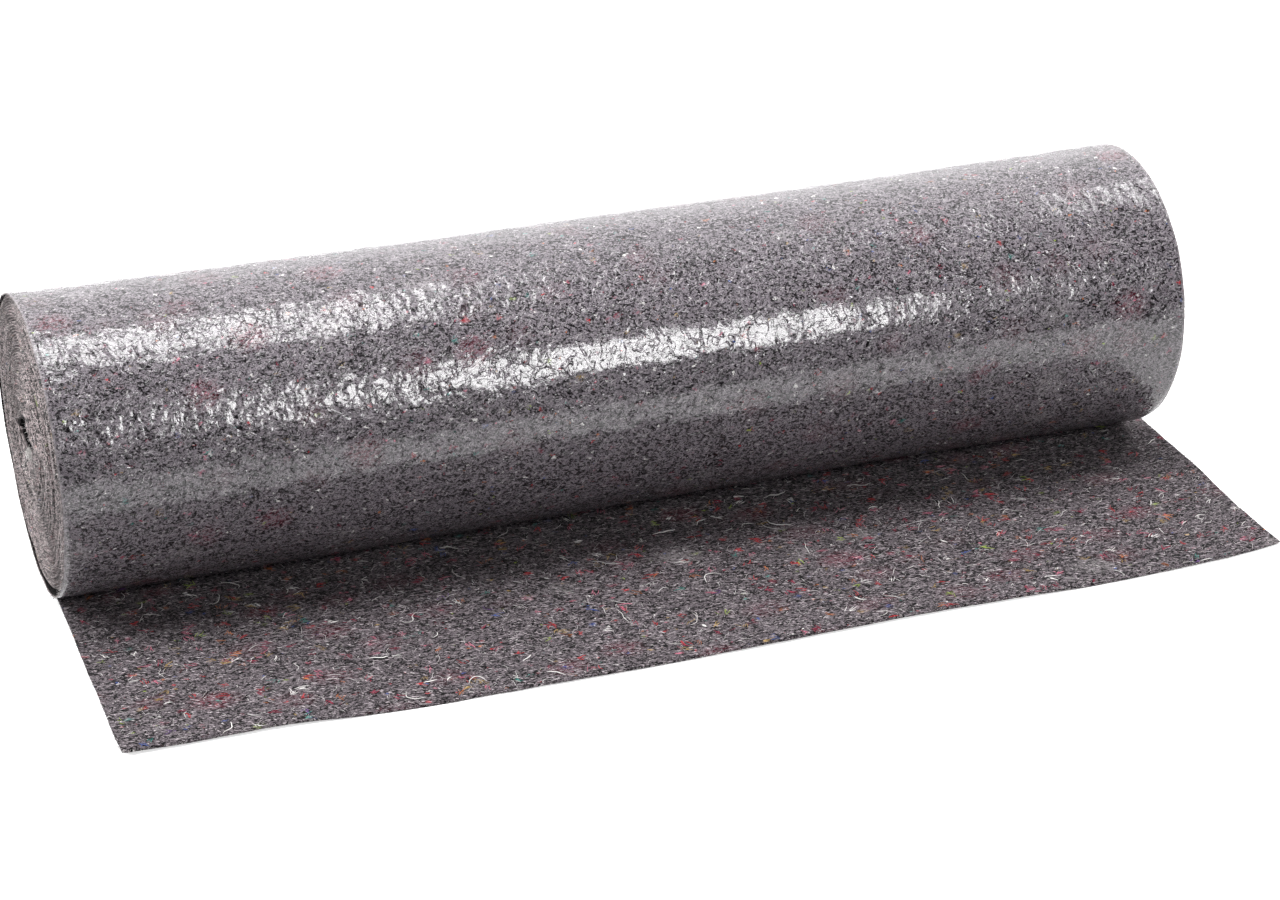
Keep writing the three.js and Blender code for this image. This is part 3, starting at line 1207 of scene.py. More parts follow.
@dataclass
class EdgeFuzz:
    """Short fibres that stand out of the cut edges and the end faces."""

    cloth: OuterCloth
    body: WoundBody
    seed: int = 51
    per_edge: int = 1300
    per_face: int = 1500
    first_row: int = 8
    length: tuple[float, float] = (1.0 * MM, 3.6 * MM)
    radius: tuple[float, float] = (0.06 * MM, 0.13 * MM)
    steps: int = 5
    splay: float = 0.55
    hook: float = 0.5
    out_of_face: float = 0.7
    near_floor: float = 6 * MM
    lowest: float = 0.2 * MM

    HUES = ((Hue.WHITE, 0.35), (Hue.PALE, 1.0), (Hue.BLACK, 0.2))

    def roots(self, random: np.random.Generator) -> tuple[np.ndarray, np.ndarray]:
        """Picks where the fibres grow.

        Args:
            random: where the draws come from.

        Returns:
            The places, and the way that each fibre points.
        """
        middle, outward = self.cloth.middle, self.cloth.outward
        rows, columns = middle.shape[:2]
        places, ways = [], []
        for column, way in ((0, -1.0), (columns - 1, 1.0)):
            row = random.integers(self.first_row, rows - 1, self.per_edge)
            shift = random.uniform(-0.5, 0.5, self.per_edge) * self.cloth.layout.thickness
            t = random.uniform(0, 1, (self.per_edge, 1))
            base = middle[row, column] * (1 - t) + middle[row + 1, column] * t
            places.append(base + outward[row, column] * shift[:, None])
            ways.append(np.tile([way, 0, 0], (self.per_edge, 1)))
        column = random.integers(0, columns - 1, self.per_edge)
        t = random.uniform(0, 1, (self.per_edge, 1))
        places.append(middle[-1, column] * (1 - t) + middle[-1, column + 1] * t)
        ways.append(np.tile([0, -1.0, 0], (self.per_edge, 1)))
        crest = np.flatnonzero(self.body.within.ravel() == self.body.CREST)
        for left, way in ((True, -1.0), (False, 1.0)):
            face = self.body.end_face(left).reshape(-1, 3)
            places.append(face[random.choice(crest, self.per_face)])
            ways.append(np.tile([way * self.out_of_face, 0, 0], (self.per_face, 1)))
        return np.concatenate(places), np.concatenate(ways)

    def build(self) -> bpy.types.Object:
        """Grows the fibres.

        Returns:
            The new piece.
        """
        random = np.random.default_rng(self.seed)
        base, way = self.roots(random)
        count = len(base)
        way = unit(way + random.normal(0, self.splay, (count, 3)))
        upward = np.where(base[:, 2] < self.near_floor, 1, np.sign(way[:, 2]))
        way[:, 2] = np.abs(way[:, 2]) * upward
        bend = random.normal(0, self.hook, (count, 3))
        t = np.linspace(0, 1, self.steps)[None, :, None]
        length = random.uniform(*self.length, (count, 1, 1))
        paths = base[:, None] + length * (way[:, None] * t + bend[:, None] * t * t * 0.5)
        paths[..., 2] = np.maximum(paths[..., 2], self.lowest)
        up = np.broadcast_to(unit(np.cross(way, bend))[:, None], paths.shape)
        colours = pick_hues(self.HUES, count, random)
        return fibre_piece("edge_fuzz", paths, up, random.uniform(*self.radius, count), colours)


@dataclass
class EyeTuft:
    """The pale tuft of teased fibres at the lower front of the left eye."""

    layout: ClothLayout
    seed: int = 61
    fibres: int = 160
    steps: int = 9
    stands_at: float = -494.5 * MM
    behind: float = 4.5 * MM
    below: float = 7.5 * MM
    spread_mm: tuple[float, float, float] = (1.0, 2.6, 1.9)
    flattened: tuple[float, float, float] = (0.35, 1, 1)
    length: tuple[float, float] = (3 * MM, 8 * MM)
    radius: tuple[float, float] = (0.18 * MM, 0.32 * MM)
    bow: float = 0.9
    bow_centre: float = 0.1

    HUES = ((Hue.WHITE, 1.0), (Hue.PALE, 0.3))

    def build(self) -> bpy.types.Object:
        """Winds the fibres loosely round the tuft's middle.

        Returns:
            The new piece.
        """
        random = np.random.default_rng(self.seed)
        centre = np.array([self.stands_at, self.behind, self.layout.axis_height - self.below])
        start = random.normal(0, 1, (self.fibres, 3)) * np.array(self.spread_mm) * MM
        heading = unit(random.normal(0, 1, (self.fibres, 3)) * np.array(self.flattened))
        turn = unit(random.normal(0, 1, (self.fibres, 3)))
        t = np.linspace(-0.5, 0.5, self.steps)[None, :, None]
        length = random.uniform(*self.length, (self.fibres, 1, 1))
        bowed = turn[:, None] * (t * t - self.bow_centre) * length * self.bow
        curve = heading[:, None] * t * length + bowed
        paths = centre + start[:, None] + curve
        up = np.broadcast_to(unit(np.cross(heading, turn))[:, None], paths.shape)
        radius = random.uniform(*self.radius, self.fibres)
        colours = pick_hues(self.HUES, self.fibres, random)
        return fibre_piece("eye_tuft", paths, up, radius, colours)


# ---- Node graphs -------------------------------------------------------------------------


@dataclass(frozen=True)
class Value:
    """What a node puts out; reckoning with it adds the nodes that work out the result."""

    graph: "Graph"
    socket: bpy.types.NodeSocket

    def __add__(self, other: object) -> "Value":
        """This and the other, added."""
        return self.graph.math("ADD", self, other)

    def __sub__(self, other: object) -> "Value":
        """This less the other."""
        return self.graph.math("SUBTRACT", self, other)

    def __rsub__(self, other: object) -> "Value":
        """The other less this."""
        return self.graph.math("SUBTRACT", other, self)

    def __mul__(self, other: object) -> "Value":
        """This and the other, multiplied."""
        return self.graph.math("MULTIPLY", self, other)

    def __truediv__(self, other: object) -> "Value":
        """This divided by the other."""
        return self.graph.math("DIVIDE", self, other)

    def __abs__(self) -> "Value":
        """This without its sign."""
        return self.graph.math("ABSOLUTE", self)

    def plus(self, vector: object) -> "Value":
        """This vector and another, added."""
        return self.graph.result("VectorMath", {"operation": "ADD"}, self, vector)

    def times(self, number: object) -> "Value":
        """This vector or colour, made so many times as long or as light."""
        return self.graph.result("VectorMath", {"operation": "SCALE"}, self, Scale=number)

    def shifted(self, by: float) -> "Value":
        """This vector moved aside, so that a second noise differs from the first."""
        return self.plus((by, 0.37 * by, 0.71 * by))

    def stretched(self, sizes: tuple[float, float, float]) -> "Value":
        """This vector, reckoned in units of a size of its own along each axis."""
        return self.graph.result("Mapping", {"vector_type": "TEXTURE"}, Vector=self, Scale=sizes)

    def ramp(self, low: float, high: float) -> "Value":
        """Makes this rise smoothly.

        Args:
            low: where the rise starts at 0.
            high: where it ends at 1.

        Returns:
            The risen value.
        """
        smooth, ends = {"interpolation_type": "SMOOTHSTEP"}, {"From_Min": low, "From_Max": high}
        return self.graph.result("MapRange", smooth, Value=self, **ends)


@dataclass
class Graph:
    """Adds nodes to a node tree and links them."""

    tree: bpy.types.NodeTree

    def add(self, kind: str, settings: dict | None = None, **inputs: object) -> bpy.types.Node:
        """Adds a node.

        Args:
            kind: the node's type, without its ShaderNode prefix.
            settings: the node's own properties.
            **inputs: numbers or values for its inputs, spaces in names as underscores.

        Returns:
            The new node.
        """
        node = self.tree.nodes.new(kind if kind.startswith("Node") else "ShaderNode" + kind)
        for name, setting in (settings or {}).items():
            setattr(node, name, setting)
        self.set(node, **inputs)
        return node

    def set(self, node: bpy.types.Node, **inputs: object) -> None:
        """Sets or links a node's inputs, spaces in their names as underscores."""
        for name, value in inputs.items():
            self.feed(node.inputs[name.replace("_", " ")], value)

    def feed(self, socket: bpy.types.NodeSocket, value: object) -> None:
        """Links a value to an input, or sets the input to a plain number or colour.

        Args:
            socket: the input.
            value: a value that a node puts out, or a number or colour.
        """
        if isinstance(value, Value):
            self.tree.links.new(value.socket, socket)
        else:
            socket.default_value = value

    def out(self, node: bpy.types.Node, output: int | str = 0) -> Value:
        """One of a node's outputs, by its number or name."""
        return Value(self, node.outputs[output])

    def result(self, kind: str, settings: dict, *terms: object, **inputs: object) -> Value:
        """Adds a node.

        Args:
            kind: the node's type, without its ShaderNode prefix.
            settings: the node's own properties.
            *terms: what its first inputs take, in order.
            **inputs: what its other inputs take, by name.

        Returns:
            Its first output.
        """
        node = self.add(kind, settings, **inputs)
        for socket, term in zip(node.inputs, terms):
            self.feed(socket, term)
        return self.out(node)

    def math(self, operation: str, *terms: object) -> Value:
        """Result of a Math node."""
        return self.result("Math", {"operation": operation}, *terms)

    def attribute(self, name: str, output: str) -> Value:
        """What the mesh stores under a name."""
        return self.out(self.add("Attribute", {"attribute_name": name}), output)

    def place(self) -> Value:
        """Places in the object's own axes."""
        return self.out(self.add("TexCoord"), "Object")

    def blend(self, factor: Value, a: object, b: object) -> Value:
        """Two colours mixed.

        Args:
            factor: 0 for the first colour to 1 for the second.
            a: the first colour.
            b: the second colour.

        Returns:
            The mixed colour.
        """
        node = self.add("Mix", {"data_type": "RGBA", "blend_type": "MIX"})
        for number, value in ((0, factor), (6, a), (7, b)):
            self.feed(node.inputs[number], value)
        return self.out(node, 2)


@dataclass(frozen=True)
class Grain:
    """A noise: millimetres from swell to swell, layers of detail, their strength, its shift."""

    size: float
    detail: float = 2.0
    roughness: float = 0.5
    shift: float = 0.0

    def over(self, at: Value, output: int = 0) -> Value:
        """The noise at some places.

        Args:
            at: the places.
            output: 0 for a value and 1 for a colour.

        Returns:
            The noise's value or colour.
        """
        place = at.shifted(self.shift) if self.shift else at
        look = {"Scale": 1 / (self.size * MM), "Detail": self.detail, "Roughness": self.roughness}
        return at.graph.out(at.graph.add("TexNoise", Vector=place, **look), output)


@dataclass(frozen=True)
class Strokes:
    """A noise drawn out in one direction, like fibres side by side: degrees and millimetres."""

    degrees: float
    length: float
    width: float

    def over(self, at: Value) -> Value:
        """The strokes' value at some places.

        Args:
            at: the places.

        Returns:
            The noise's value.
        """
        size = (self.length * MM, self.width * MM, self.width * MM)
        moved = (0.013 * self.degrees, 0.07, 0.003 * self.degrees)
        turn = {"Rotation": (0, 0, math.radians(self.degrees)), "Location": moved, "Scale": size}
        place = at.graph.result("Mapping", {"vector_type": "TEXTURE"}, Vector=at, **turn)
        return at.graph.result("TexNoise", {}, Vector=place, Scale=1.0, Detail=0.7)


class Kind(Enum):
    """What a node group's input or output holds."""

    VECTOR = "NodeSocketVector"
    COLOUR = "NodeSocketColor"
    NUMBER = "NodeSocketFloat"


def new_group(name: str, takes: dict, gives: dict) -> tuple[Graph, dict, bpy.types.Node]:
    """Starts a node group.

    Args:
        name: the group's name.
        takes: the kind of each input, by name.
        gives: the kind of each output, by name.

    Returns:
        The group's graph, its input values by name, and its output node.
    """
    tree = bpy.data.node_groups.new(name, "ShaderNodeTree")
    for ports, way in ((takes, "INPUT"), (gives, "OUTPUT")):
        for port, kind in ports.items():
            tree.interface.new_socket(port, in_out=way, socket_type=kind.value)
    graph = Graph(tree)
    entry = graph.add("NodeGroupInput")
    given = {port: graph.out(entry, port) for port in takes}
    return graph, given, graph.add("NodeGroupOutput")


# ---- Effects that the finishes share -----------------------------------------------------


@dataclass(frozen=True)
class MixedFelt:
    """Felt of mixed fibres: a mottled colour with painted shade in its crevices and pits, and the height
    of its fibres, in millimetres.
    """

    fine: Grain = Grain(size=1.8, roughness=0.65)
    coarse: Grain = Grain(size=4.5, roughness=0.6, shift=0.31)
    cloud: Grain = Grain(size=24, detail=3.0, roughness=0.6, shift=0.83)
    fine_weight: float = 8.0
    coarse_weight: float = 2.8
    cloud_weight: float = 1.4
    brightest: float = 0.45
    strokes: Strokes = Strokes(degrees=14, length=4.6, width=0.9)
    crossing: Strokes = Strokes(degrees=58, length=4.0, width=0.85)
    crevices: Grain = Grain(size=11, roughness=0.65, shift=0.57)
    crevice_width: float = 0.022
    gaps: Grain = Grain(size=6, detail=1.0, shift=0.77)
    pits: Strokes = Strokes(degrees=150, length=2.8, width=1.5)
    fine_height: float = 0.7
    pale_height: float = 0.6
    coarse_height: float = 0.9
    crack_depth: float = 0.35

    def cracks(self, at: Value) -> Value:
        """1 in dark lines along the contours of a noise, with gaps in them, and 0 elsewhere."""
        lines = 1.0 - abs(self.crevices.over(at) - 0.5).ramp(low=0.0, high=self.crevice_width)
        return lines * self.gaps.over(at).ramp(low=0.47, high=0.60)

    def group(self) -> bpy.types.NodeTree:
        """Builds the node group.

        Returns:
            The group.
        """
        tones = {"Dark": Kind.COLOUR, "Middle": Kind.COLOUR, "Light": Kind.COLOUR}
        takes = {"Vector": Kind.VECTOR, **tones, "Contrast": Kind.NUMBER}
        gives = {"Color": Kind.COLOUR, "Height": Kind.NUMBER}
        graph, given, result = new_group("mixed_fibre_felt", takes, gives)
        at, contrast = given["Vector"], given["Contrast"]
        fine, coarse = self.fine.over(at), self.coarse.over(at)
        uneven = (fine - 0.5) * self.fine_weight
        uneven = uneven + (coarse - 0.5) * self.coarse_weight
        uneven = uneven + (self.cloud.over(at) - 0.5) * self.cloud_weight
        uneven = self.brightest - abs(self.brightest - uneven)
        colour = given["Middle"].times(graph.math("EXPONENT", uneven * contrast))
        pale = graph.math("MAXIMUM", self.strokes.over(at), self.crossing.over(at))
        colour = graph.blend(pale.ramp(low=0.64, high=0.84) * contrast, colour, given["Light"])
        # Painted shade: the felt's crevices, where its height also dips, and its pits are darkened towards
        # the dark tone.
        cracks, pits = self.cracks(at), 1.0 - self.pits.over(at).ramp(low=0.29, high=0.38)
        dark = graph.math("MAXIMUM", cracks, pits) * contrast
        height = fine * self.fine_height + pale * self.pale_height
        height = height + coarse * self.coarse_height - cracks * self.crack_depth
        graph.set(result, Color=graph.blend(dark, colour, given["Dark"]), Height=height)
        return graph.tree


DYES = (
    Hue.RED, Hue.CRIMSON, Hue.PINK, Hue.OCHRE, Hue.RED, Hue.BLUE, Hue.CRIMSON, Hue.ORANGE,
    Hue.TEAL, Hue.PINK, Hue.GREEN, Hue.CRIMSON,
)
TINTS = (Hue.WINE, Hue.CRIMSON, Hue.WINE, Hue.CRIMSON, Hue.WINE, Hue.BLACK, Hue.PALE, Hue.WINE)


@dataclass(frozen=True)
class Scatter:
    """Cells scattered over the surface: millimetres apart, and their shift."""

    apart: float
    shift: float

    def cells(self, at: Value) -> tuple[Value, list]:
        """The cells at some places.

        Args:
            at: the places.

        Returns:
            The distance to the nearest cell's middle, and three random numbers for each cell.
        """
        graph = at.graph
        node = graph.add("TexVoronoi", Vector=at.shifted(self.shift), Scale=1 / (self.apart * MM))
        drawn = graph.add("SeparateColor", Color=graph.out(node, "Color"))
        return graph.out(node, "Distance"), [graph.out(drawn, k) for k in range(3)]


@dataclass(frozen=True)
class FleckLayer(Scatter):
    """Patches of dyed fibre: how far they reach, how rare and strong they are, their hues."""

    reach: float
    rarity: float
    weight: float
    hues: tuple[Hue, ...]

    def dye(self, draw: Value) -> Value:
        """One of the hues for each patch.

        Args:
            draw: a random number for each patch.

        Returns:
            The patch's colour.
        """
        node = draw.graph.add("ValToRGB", Fac=draw)
        ramp = node.color_ramp
        ramp.interpolation = "CONSTANT"
        for k, hue in enumerate(self.hues):
            stop = ramp.elements[0] if k == 0 else ramp.elements.new(k / len(self.hues))
            stop.position, stop.color = k / len(self.hues), (*hue.value, 1)
        ramp.elements.remove(ramp.elements[-1])
        return draw.graph.out(node)


@dataclass(frozen=True)
class SpeckLayer(Scatter):
    """Small round specks: the share of them that shows, and their hue."""

    share: float
    hue: Hue


@dataclass(frozen=True)
class DyedFlecks:
    """Tinted patches, flecks of dyed fibre and dark and pale specks, laid over a colour."""

    layers: tuple[FleckLayer, ...] = (
        FleckLayer(apart=38, shift=0.9, reach=0.50, rarity=0.42, weight=0.28, hues=TINTS),
        FleckLayer(apart=15, shift=0.0, reach=0.26, rarity=1.00, weight=0.60, hues=DYES),
        FleckLayer(apart=7.5, shift=0.5, reach=0.25, rarity=0.80, weight=1.00, hues=DYES),
    )
    specks: tuple[SpeckLayer, ...] = (
        SpeckLayer(apart=5.0, shift=0.2, share=0.6, hue=Hue.BLACK),
        SpeckLayer(apart=7.0, shift=0.7, share=0.2, hue=Hue.WHITE),
    )
    pull: Grain = Grain(size=5, detail=3.0, roughness=0.7)
    pulled_by: float = 12 * MM
    shreds: Strokes = Strokes(degrees=35, length=3.0, width=0.9)
    shreds_shift: float = 0.9
    speck_radius: float = 0.2

    def group(self) -> bpy.types.NodeTree:
        """Builds the node group.

        Returns:
            The group.
        """
        amounts = {"Amount": Kind.NUMBER, "Strength": Kind.NUMBER}
        takes = {"Vector": Kind.VECTOR, "Color": Kind.COLOUR, **amounts}
        graph, given, result = new_group("dyed_flecks", takes, {"Color": Kind.COLOUR})
        at, colour = given["Vector"], given["Color"]
        aside = self.pull.over(at, output=1).plus((-0.5, -0.5, -0.5))
        teased = at.plus(aside.times(self.pulled_by))
        shreds = self.shreds.over(at.shifted(self.shreds_shift)).ramp(low=0.43, high=0.56)
        for layer in self.layers:
            distance, draws = layer.cells(teased)
            near = 1.0 - distance.ramp(low=0.3 * layer.reach, high=layer.reach)
            chosen = graph.math("LESS_THAN", draws[1], given["Amount"] / layer.rarity)
            mask = near * chosen * shreds * (given["Strength"] * layer.weight)
            colour = graph.blend(mask, colour, layer.dye(draws[0]))
        for layer in self.specks:
            distance, draws = layer.cells(teased)
            near = 1.0 - distance.ramp(low=0.4 * self.speck_radius, high=self.speck_radius)
            mask = near * graph.math("LESS_THAN", draws[2], layer.share) * draws[0]
            colour = graph.blend(mask, colour, (*layer.hue.value, 1))
        graph.set(result, Color=colour)
        return graph.tree


@dataclass(frozen=True)
class Ripple:
    """Waves in the film: millimetres from swell to swell, depth, and the share that is everywhere."""

    shift: float
    across: float
    along: float
    depth: float
    everywhere: float

    def noise(self, at: Value, detail: float) -> Value:
        """A noise with swells of different size across and along the cloth.

        Args:
            at: the places.
            detail: how many finer layers it has.

        Returns:
            The noise's value.
        """
        place = at.stretched((self.across * MM, self.along * MM, self.across * MM))
        look = {"Scale": 1.0, "Detail": detail, "Distortion": 0.5}
        return at.graph.result("TexNoise", {}, Vector=place, **look)

    def height(self, at: Value, crinkled: Value) -> Value:
        """The waves' height in millimetres, full where the film is crinkled."""
        return self.noise(at.shifted(self.shift), detail=0.6) * self.share(crinkled) * self.depth

    def share(self, crinkled: Value) -> Value:
        """How much of the depth is reached: at least the share that is everywhere."""
        return crinkled * (1 - self.everywhere) + self.everywhere


@dataclass(frozen=True)
class CreaseLines(Ripple):
    """Sharp creases in the film, along the contours of a noise, broken into short pieces."""

    width: float
    gaps: Grain = Grain(size=7, detail=1.0, shift=0.1)

    def height(self, at: Value, crinkled: Value) -> Value:
        """The creases' height, which is sunk below the film.

        Args:
            at: the places.
            crinkled: 1 where the creases have their full depth.

        Returns:
            The height in millimetres.
        """
        place = at.shifted(self.shift)
        crease = 1.0 - abs(self.noise(place, detail=1.0) - 0.5).ramp(low=0.0, high=self.width)
        unbroken = self.gaps.over(place).ramp(low=0.36, high=0.58)
        return crease * unbroken * self.share(crinkled) * -self.depth


CREASES = (
    Ripple(shift=0.75, across=8.5, along=11.0, depth=0.85, everywhere=0.20),
    Ripple(shift=0.25, across=3.6, along=6.0, depth=0.22, everywhere=0.0),
    CreaseLines(shift=0.15, across=5.0, along=10.0, depth=0.34, everywhere=0.30, width=0.026),
    CreaseLines(shift=0.55, across=10.0, along=5.0, depth=0.28, everywhere=0.25, width=0.026),
    CreaseLines(shift=0.65, across=15.0, along=17.0, depth=0.34, everywhere=0.9, width=0.030),
)


@dataclass(frozen=True)
class FilmCreases:
    """Thin film on felt: height of its creases, where it is crinkled, and a mask along its cut edges for a
    rougher film and a painted highlight.
    """

    cloth_width: float = ClothLayout.width
    regions: Grain = Grain(size=75, shift=0.4)
    patches: Grain = Grain(size=16, detail=1.0, shift=0.2)
    in_regions: float = 0.5
    near_left: float = 0.7
    everywhere: float = 0.1
    swells: Grain = Grain(size=32, detail=1.0)
    swell_height: float = 0.5
    torn: Grain = Grain(size=3)
    torn_by: float = 3 * MM

    def crinkled(self, at: Value, across: Value) -> Value:
        """Where the film is crinkled: in patches, and more of it towards the left end.

        Args:
            at: the places.
            across: their distance from the left edge.

        Returns:
            0 where it is smooth and about 1 where it is crinkled.
        """
        region = self.regions.over(at).ramp(low=0.42, high=0.60) * self.in_regions
        region = region + (1.0 - across.ramp(low=0.12, high=0.55)) * self.near_left
        patch = self.patches.over(at).ramp(low=0.38, high=0.62) * 0.5 + 0.5
        return (region + self.everywhere) * patch

    def group(self) -> bpy.types.NodeTree:
        """Builds the node group.

        Returns:
            The group.
        """
        gives = {"Height": Kind.NUMBER, "Crinkled": Kind.NUMBER, "Scuffed": Kind.NUMBER}
        graph, given, result = new_group("film_creases", {"Vector": Kind.VECTOR}, gives)
        at = given["Vector"]
        across = graph.result("SeparateXYZ", {}, Vector=at)
        crinkled = self.crinkled(at, across)
        height = self.swells.over(at) * self.swell_height
        for crease in CREASES:
            height = height + crease.height(at, crinkled)
        to_edge = graph.math("MINIMUM", across, self.cloth_width - across)
        # Mask along the cut edges: the film is rougher there, and its colour takes a painted highlight.
        scuff_and_glint = 1.0 - (to_edge + self.torn.over(at) * self.torn_by).ramp(low=2 * MM, high=4 * MM)
        graph.set(result, Height=height, Crinkled=crinkled, Scuffed=scuff_and_glint)
        return graph.tree


# ---- Finishes ----------------------------------------------------------------------------


def new_material(name: str) -> tuple[bpy.types.Material, Graph, bpy.types.Node]:
    """Starts a material.

    Args:
        name: the material's name.

    Returns:
        The material, its graph and its Principled shader.
    """
    material = bpy.data.materials.new(name)
    material.use_nodes = True
    tree = material.node_tree
    return material, Graph(tree), tree.nodes["Principled BSDF"]


@dataclass(frozen=True)
class FeltTones:
    """Dark, middle and light colour of a felt surface."""

    dark: tuple[float, float, float]
    middle: tuple[float, float, float]
    light: tuple[float, float, float]

    def inputs(self) -> dict:
        """The three colours for the felt group's inputs."""
        return {tone.title(): (*colour, 1) for tone, colour in vars(self).items()}


@dataclass(frozen=True)
class Finish:
    """A material of the cloth, made of felt, flecks and perhaps a film over them."""

    name: str
    tones: FeltTones
    contrast: float
    fleck_amount: float
    fleck_strength: float
    bump_mm: float
    roughness: float
    sheen: float = 0.0
    film: bool = False
    drawn_out: float = 1.0
    on_cloth: bool = True
    # Whether the colour takes painted shade from the mesh's stored shade.
    shaded: bool = False

    FELT_SPECULAR = 0.1
    SHEEN_ROUGHNESS = 0.6
    FILM_IOR = 1.54
    FUZZ_ROUGHNESS = 0.1
    CREASED_ROUGHNESS = 0.05
    SCUFFED_ROUGHNESS = 0.3
    SCUFFED_PALE = 0.4
    SHADE_DEPTH = 0.85

    def make(self, groups: dict) -> bpy.types.Material:
        """Builds the material from the shared groups.

        Args:
            groups: the node groups, by name.

        Returns:
            The new material.
        """
        material, graph, shader = new_material(self.name)
        at = graph.attribute("cloth", "Vector") if self.on_cloth else graph.place()
        drawn, tones = at.stretched((self.drawn_out, 1.0, 1.0)), self.tones.inputs()
        laid = {"Vector": drawn, "Contrast": self.contrast, **tones}
        felt = graph.add("Group", {"node_tree": groups["felt"]}, **laid)
        amounts = {"Amount": self.fleck_amount, "Strength": self.fleck_strength}
        laid = {"Vector": drawn, "Color": graph.out(felt, "Color"), **amounts}
        colour = graph.result("Group", {"node_tree": groups["flecks"]}, **laid)
        relief = graph.out(felt, "Height")
        # Painted shade: the end faces' colour is darkened towards the dark tone in the grooves, in loose
        # groups and along the rim.
        if self.shaded:
            shade = graph.attribute("shade", "Fac")
            colour = graph.blend(shade * self.SHADE_DEPTH, colour, tones["Dark"])
        height = relief * self.bump_mm
        if self.film:
            creases = graph.add("Group", {"node_tree": groups["creases"]}, Vector=at)
            crinkled, scuff_and_glint = graph.out(creases, "Crinkled"), graph.out(creases, "Scuffed")
            height = height + graph.out(creases, "Height")
            worn = crinkled * self.CREASED_ROUGHNESS + scuff_and_glint * self.SCUFFED_ROUGHNESS
            # Painted highlight: a paler colour along the cut edges, for the light that the film catches
            # where it bends round them; the film is also rougher there.
            colour = graph.blend(scuff_and_glint * self.SCUFFED_PALE, colour, tones["Light"])
            graph.set(shader, Roughness=worn + self.roughness, IOR=self.FILM_IOR)
        else:
            graph.set(shader, Roughness=relief * self.FUZZ_ROUGHNESS + self.roughness)
            graph.set(shader, Sheen_Weight=self.sheen, Sheen_Roughness=self.SHEEN_ROUGHNESS)
            graph.set(shader, Specular_IOR_Level=self.FELT_SPECULAR)
        bump = graph.result("Bump", {}, Height=height, Distance=MM)
        graph.set(shader, Base_Color=colour, Normal=bump)
        return material


FILM_FACED = Finish(
    name="film_faced_felt",
    tones=FeltTones((0.004, 0.003, 0.004), (0.127, 0.112, 0.126), (0.34, 0.31, 0.325)),
    contrast=1.75,
    fleck_amount=0.27,
    fleck_strength=0.85,
    bump_mm=0.03,
    roughness=0.09,
    film=True,
    drawn_out=1.2,
)
INNER_FILM = replace(FILM_FACED, name="film_of_inner_turns", on_cloth=False)
OPEN_FELT = Finish(
    name="open_felt",
    tones=FeltTones((0.001, 0.001, 0.001), (0.065, 0.055, 0.061), (0.44, 0.39, 0.41)),
    contrast=2.3,
    fleck_amount=0.3,
    fleck_strength=0.85,
    bump_mm=1.0,
    roughness=0.86,
    sheen=0.02,
    drawn_out=1.45,
)
CUT_FELT = Finish(
    name="cut_felt",
    tones=FeltTones((0.011, 0.009, 0.009), (0.205, 0.170, 0.172), (0.56, 0.49, 0.48)),
    contrast=2.1,
    fleck_amount=0.26,
    fleck_strength=0.7,
    bump_mm=0.5,
    roughness=0.88,
    sheen=0.2,
    shaded=True,
)
# A near-black copy of the open felt, which paints the shade in the hollow, under the outermost turn and on
# its back edge.
SHADE_PAINTED_FELT = replace(
    OPEN_FELT,
    name="felt_darkened_as_painted_shade",
    tones=FeltTones((0.003, 0.003, 0.003), (0.012, 0.010, 0.011), (0.05, 0.045, 0.045)),
    fleck_amount=0.05,
    sheen=0.0,
    on_cloth=False,
)


@dataclass(frozen=True)
class FibreFinish:
    """Loose fibres: their own colour, dusted with felt in places."""

    name: str = "loose_fibre"
    dust: Colour = (0.26, 0.235, 0.24, 1)
    patches: Grain = Grain(size=1.6)
    roughness: float = 0.6
    uneven_roughness: float = 0.2
    specular: float = 0.3

    def make(self) -> bpy.types.Material:
        """Builds the material.

        Returns:
            The new material.
        """
        material, graph, shader = new_material(self.name)
        own = graph.attribute("fibre_colour", "Color")
        patchy = self.patches.over(graph.place())
        colour = graph.blend(patchy.ramp(low=0.2, high=0.42), self.dust, own)
        rough = patchy * self.uneven_roughness + self.roughness
        graph.set(shader, Base_Color=colour, Roughness=rough, Specular_IOR_Level=self.specular)
        return material


# ---- Studio ------------------------------------------------------------------------------


def direction(azimuth: float, elevation: float) -> Vector:
    """Direction from the roll, azimuth 0 straight in front and 90 at its right end."""
    a, e = math.radians(azimuth), math.radians(elevation)
    return Vector((math.sin(a) * math.cos(e), -math.cos(a) * math.cos(e), math.sin(e)))


def level(back: Vector) -> Matrix:
    """Turns something so that it faces the roll and lies along it as far as it can.

    Args:
        back: the direction from the roll, which becomes Z.

    Returns:
        The rotation.
    """
    nearly_end_on = abs(back.x) > 0.8
    along = Vector((0, 1, 0)) if nearly_end_on else Vector((1, 0, 0))
    right = (along - back * back.dot(along)).normalized()
    return Matrix((right, back.cross(right), back)).transposed()


def grey(tone: float) -> Colour:
    """An even grey as a colour."""
    return (tone, tone, tone, 1)


@dataclass(frozen=True)
class Softbox:
    """A large soft light a good way off, pointing at the roll."""

    name: str
    azimuth: float
    elevation: float
    size: tuple[float, float]
    radiance: float
    distance: float = 4.0

    def build(self, target: Vector) -> None:
        """Hangs the light and points it at the target.

        Args:
            target: the point that it faces.
        """
        data = bpy.data.lights.new(self.name, "AREA")
        data.shape = "RECTANGLE"
        data.size, data.size_y = self.size
        data.energy = self.radiance * math.pi * self.size[0] * self.size[1]
        light = new_object(self.name, data)
        back = direction(self.azimuth, self.elevation)
        light.location = target + back * self.distance
        light.rotation_mode = "QUATERNION"
        light.rotation_quaternion = level(back).to_quaternion()
        light.visible_camera = False


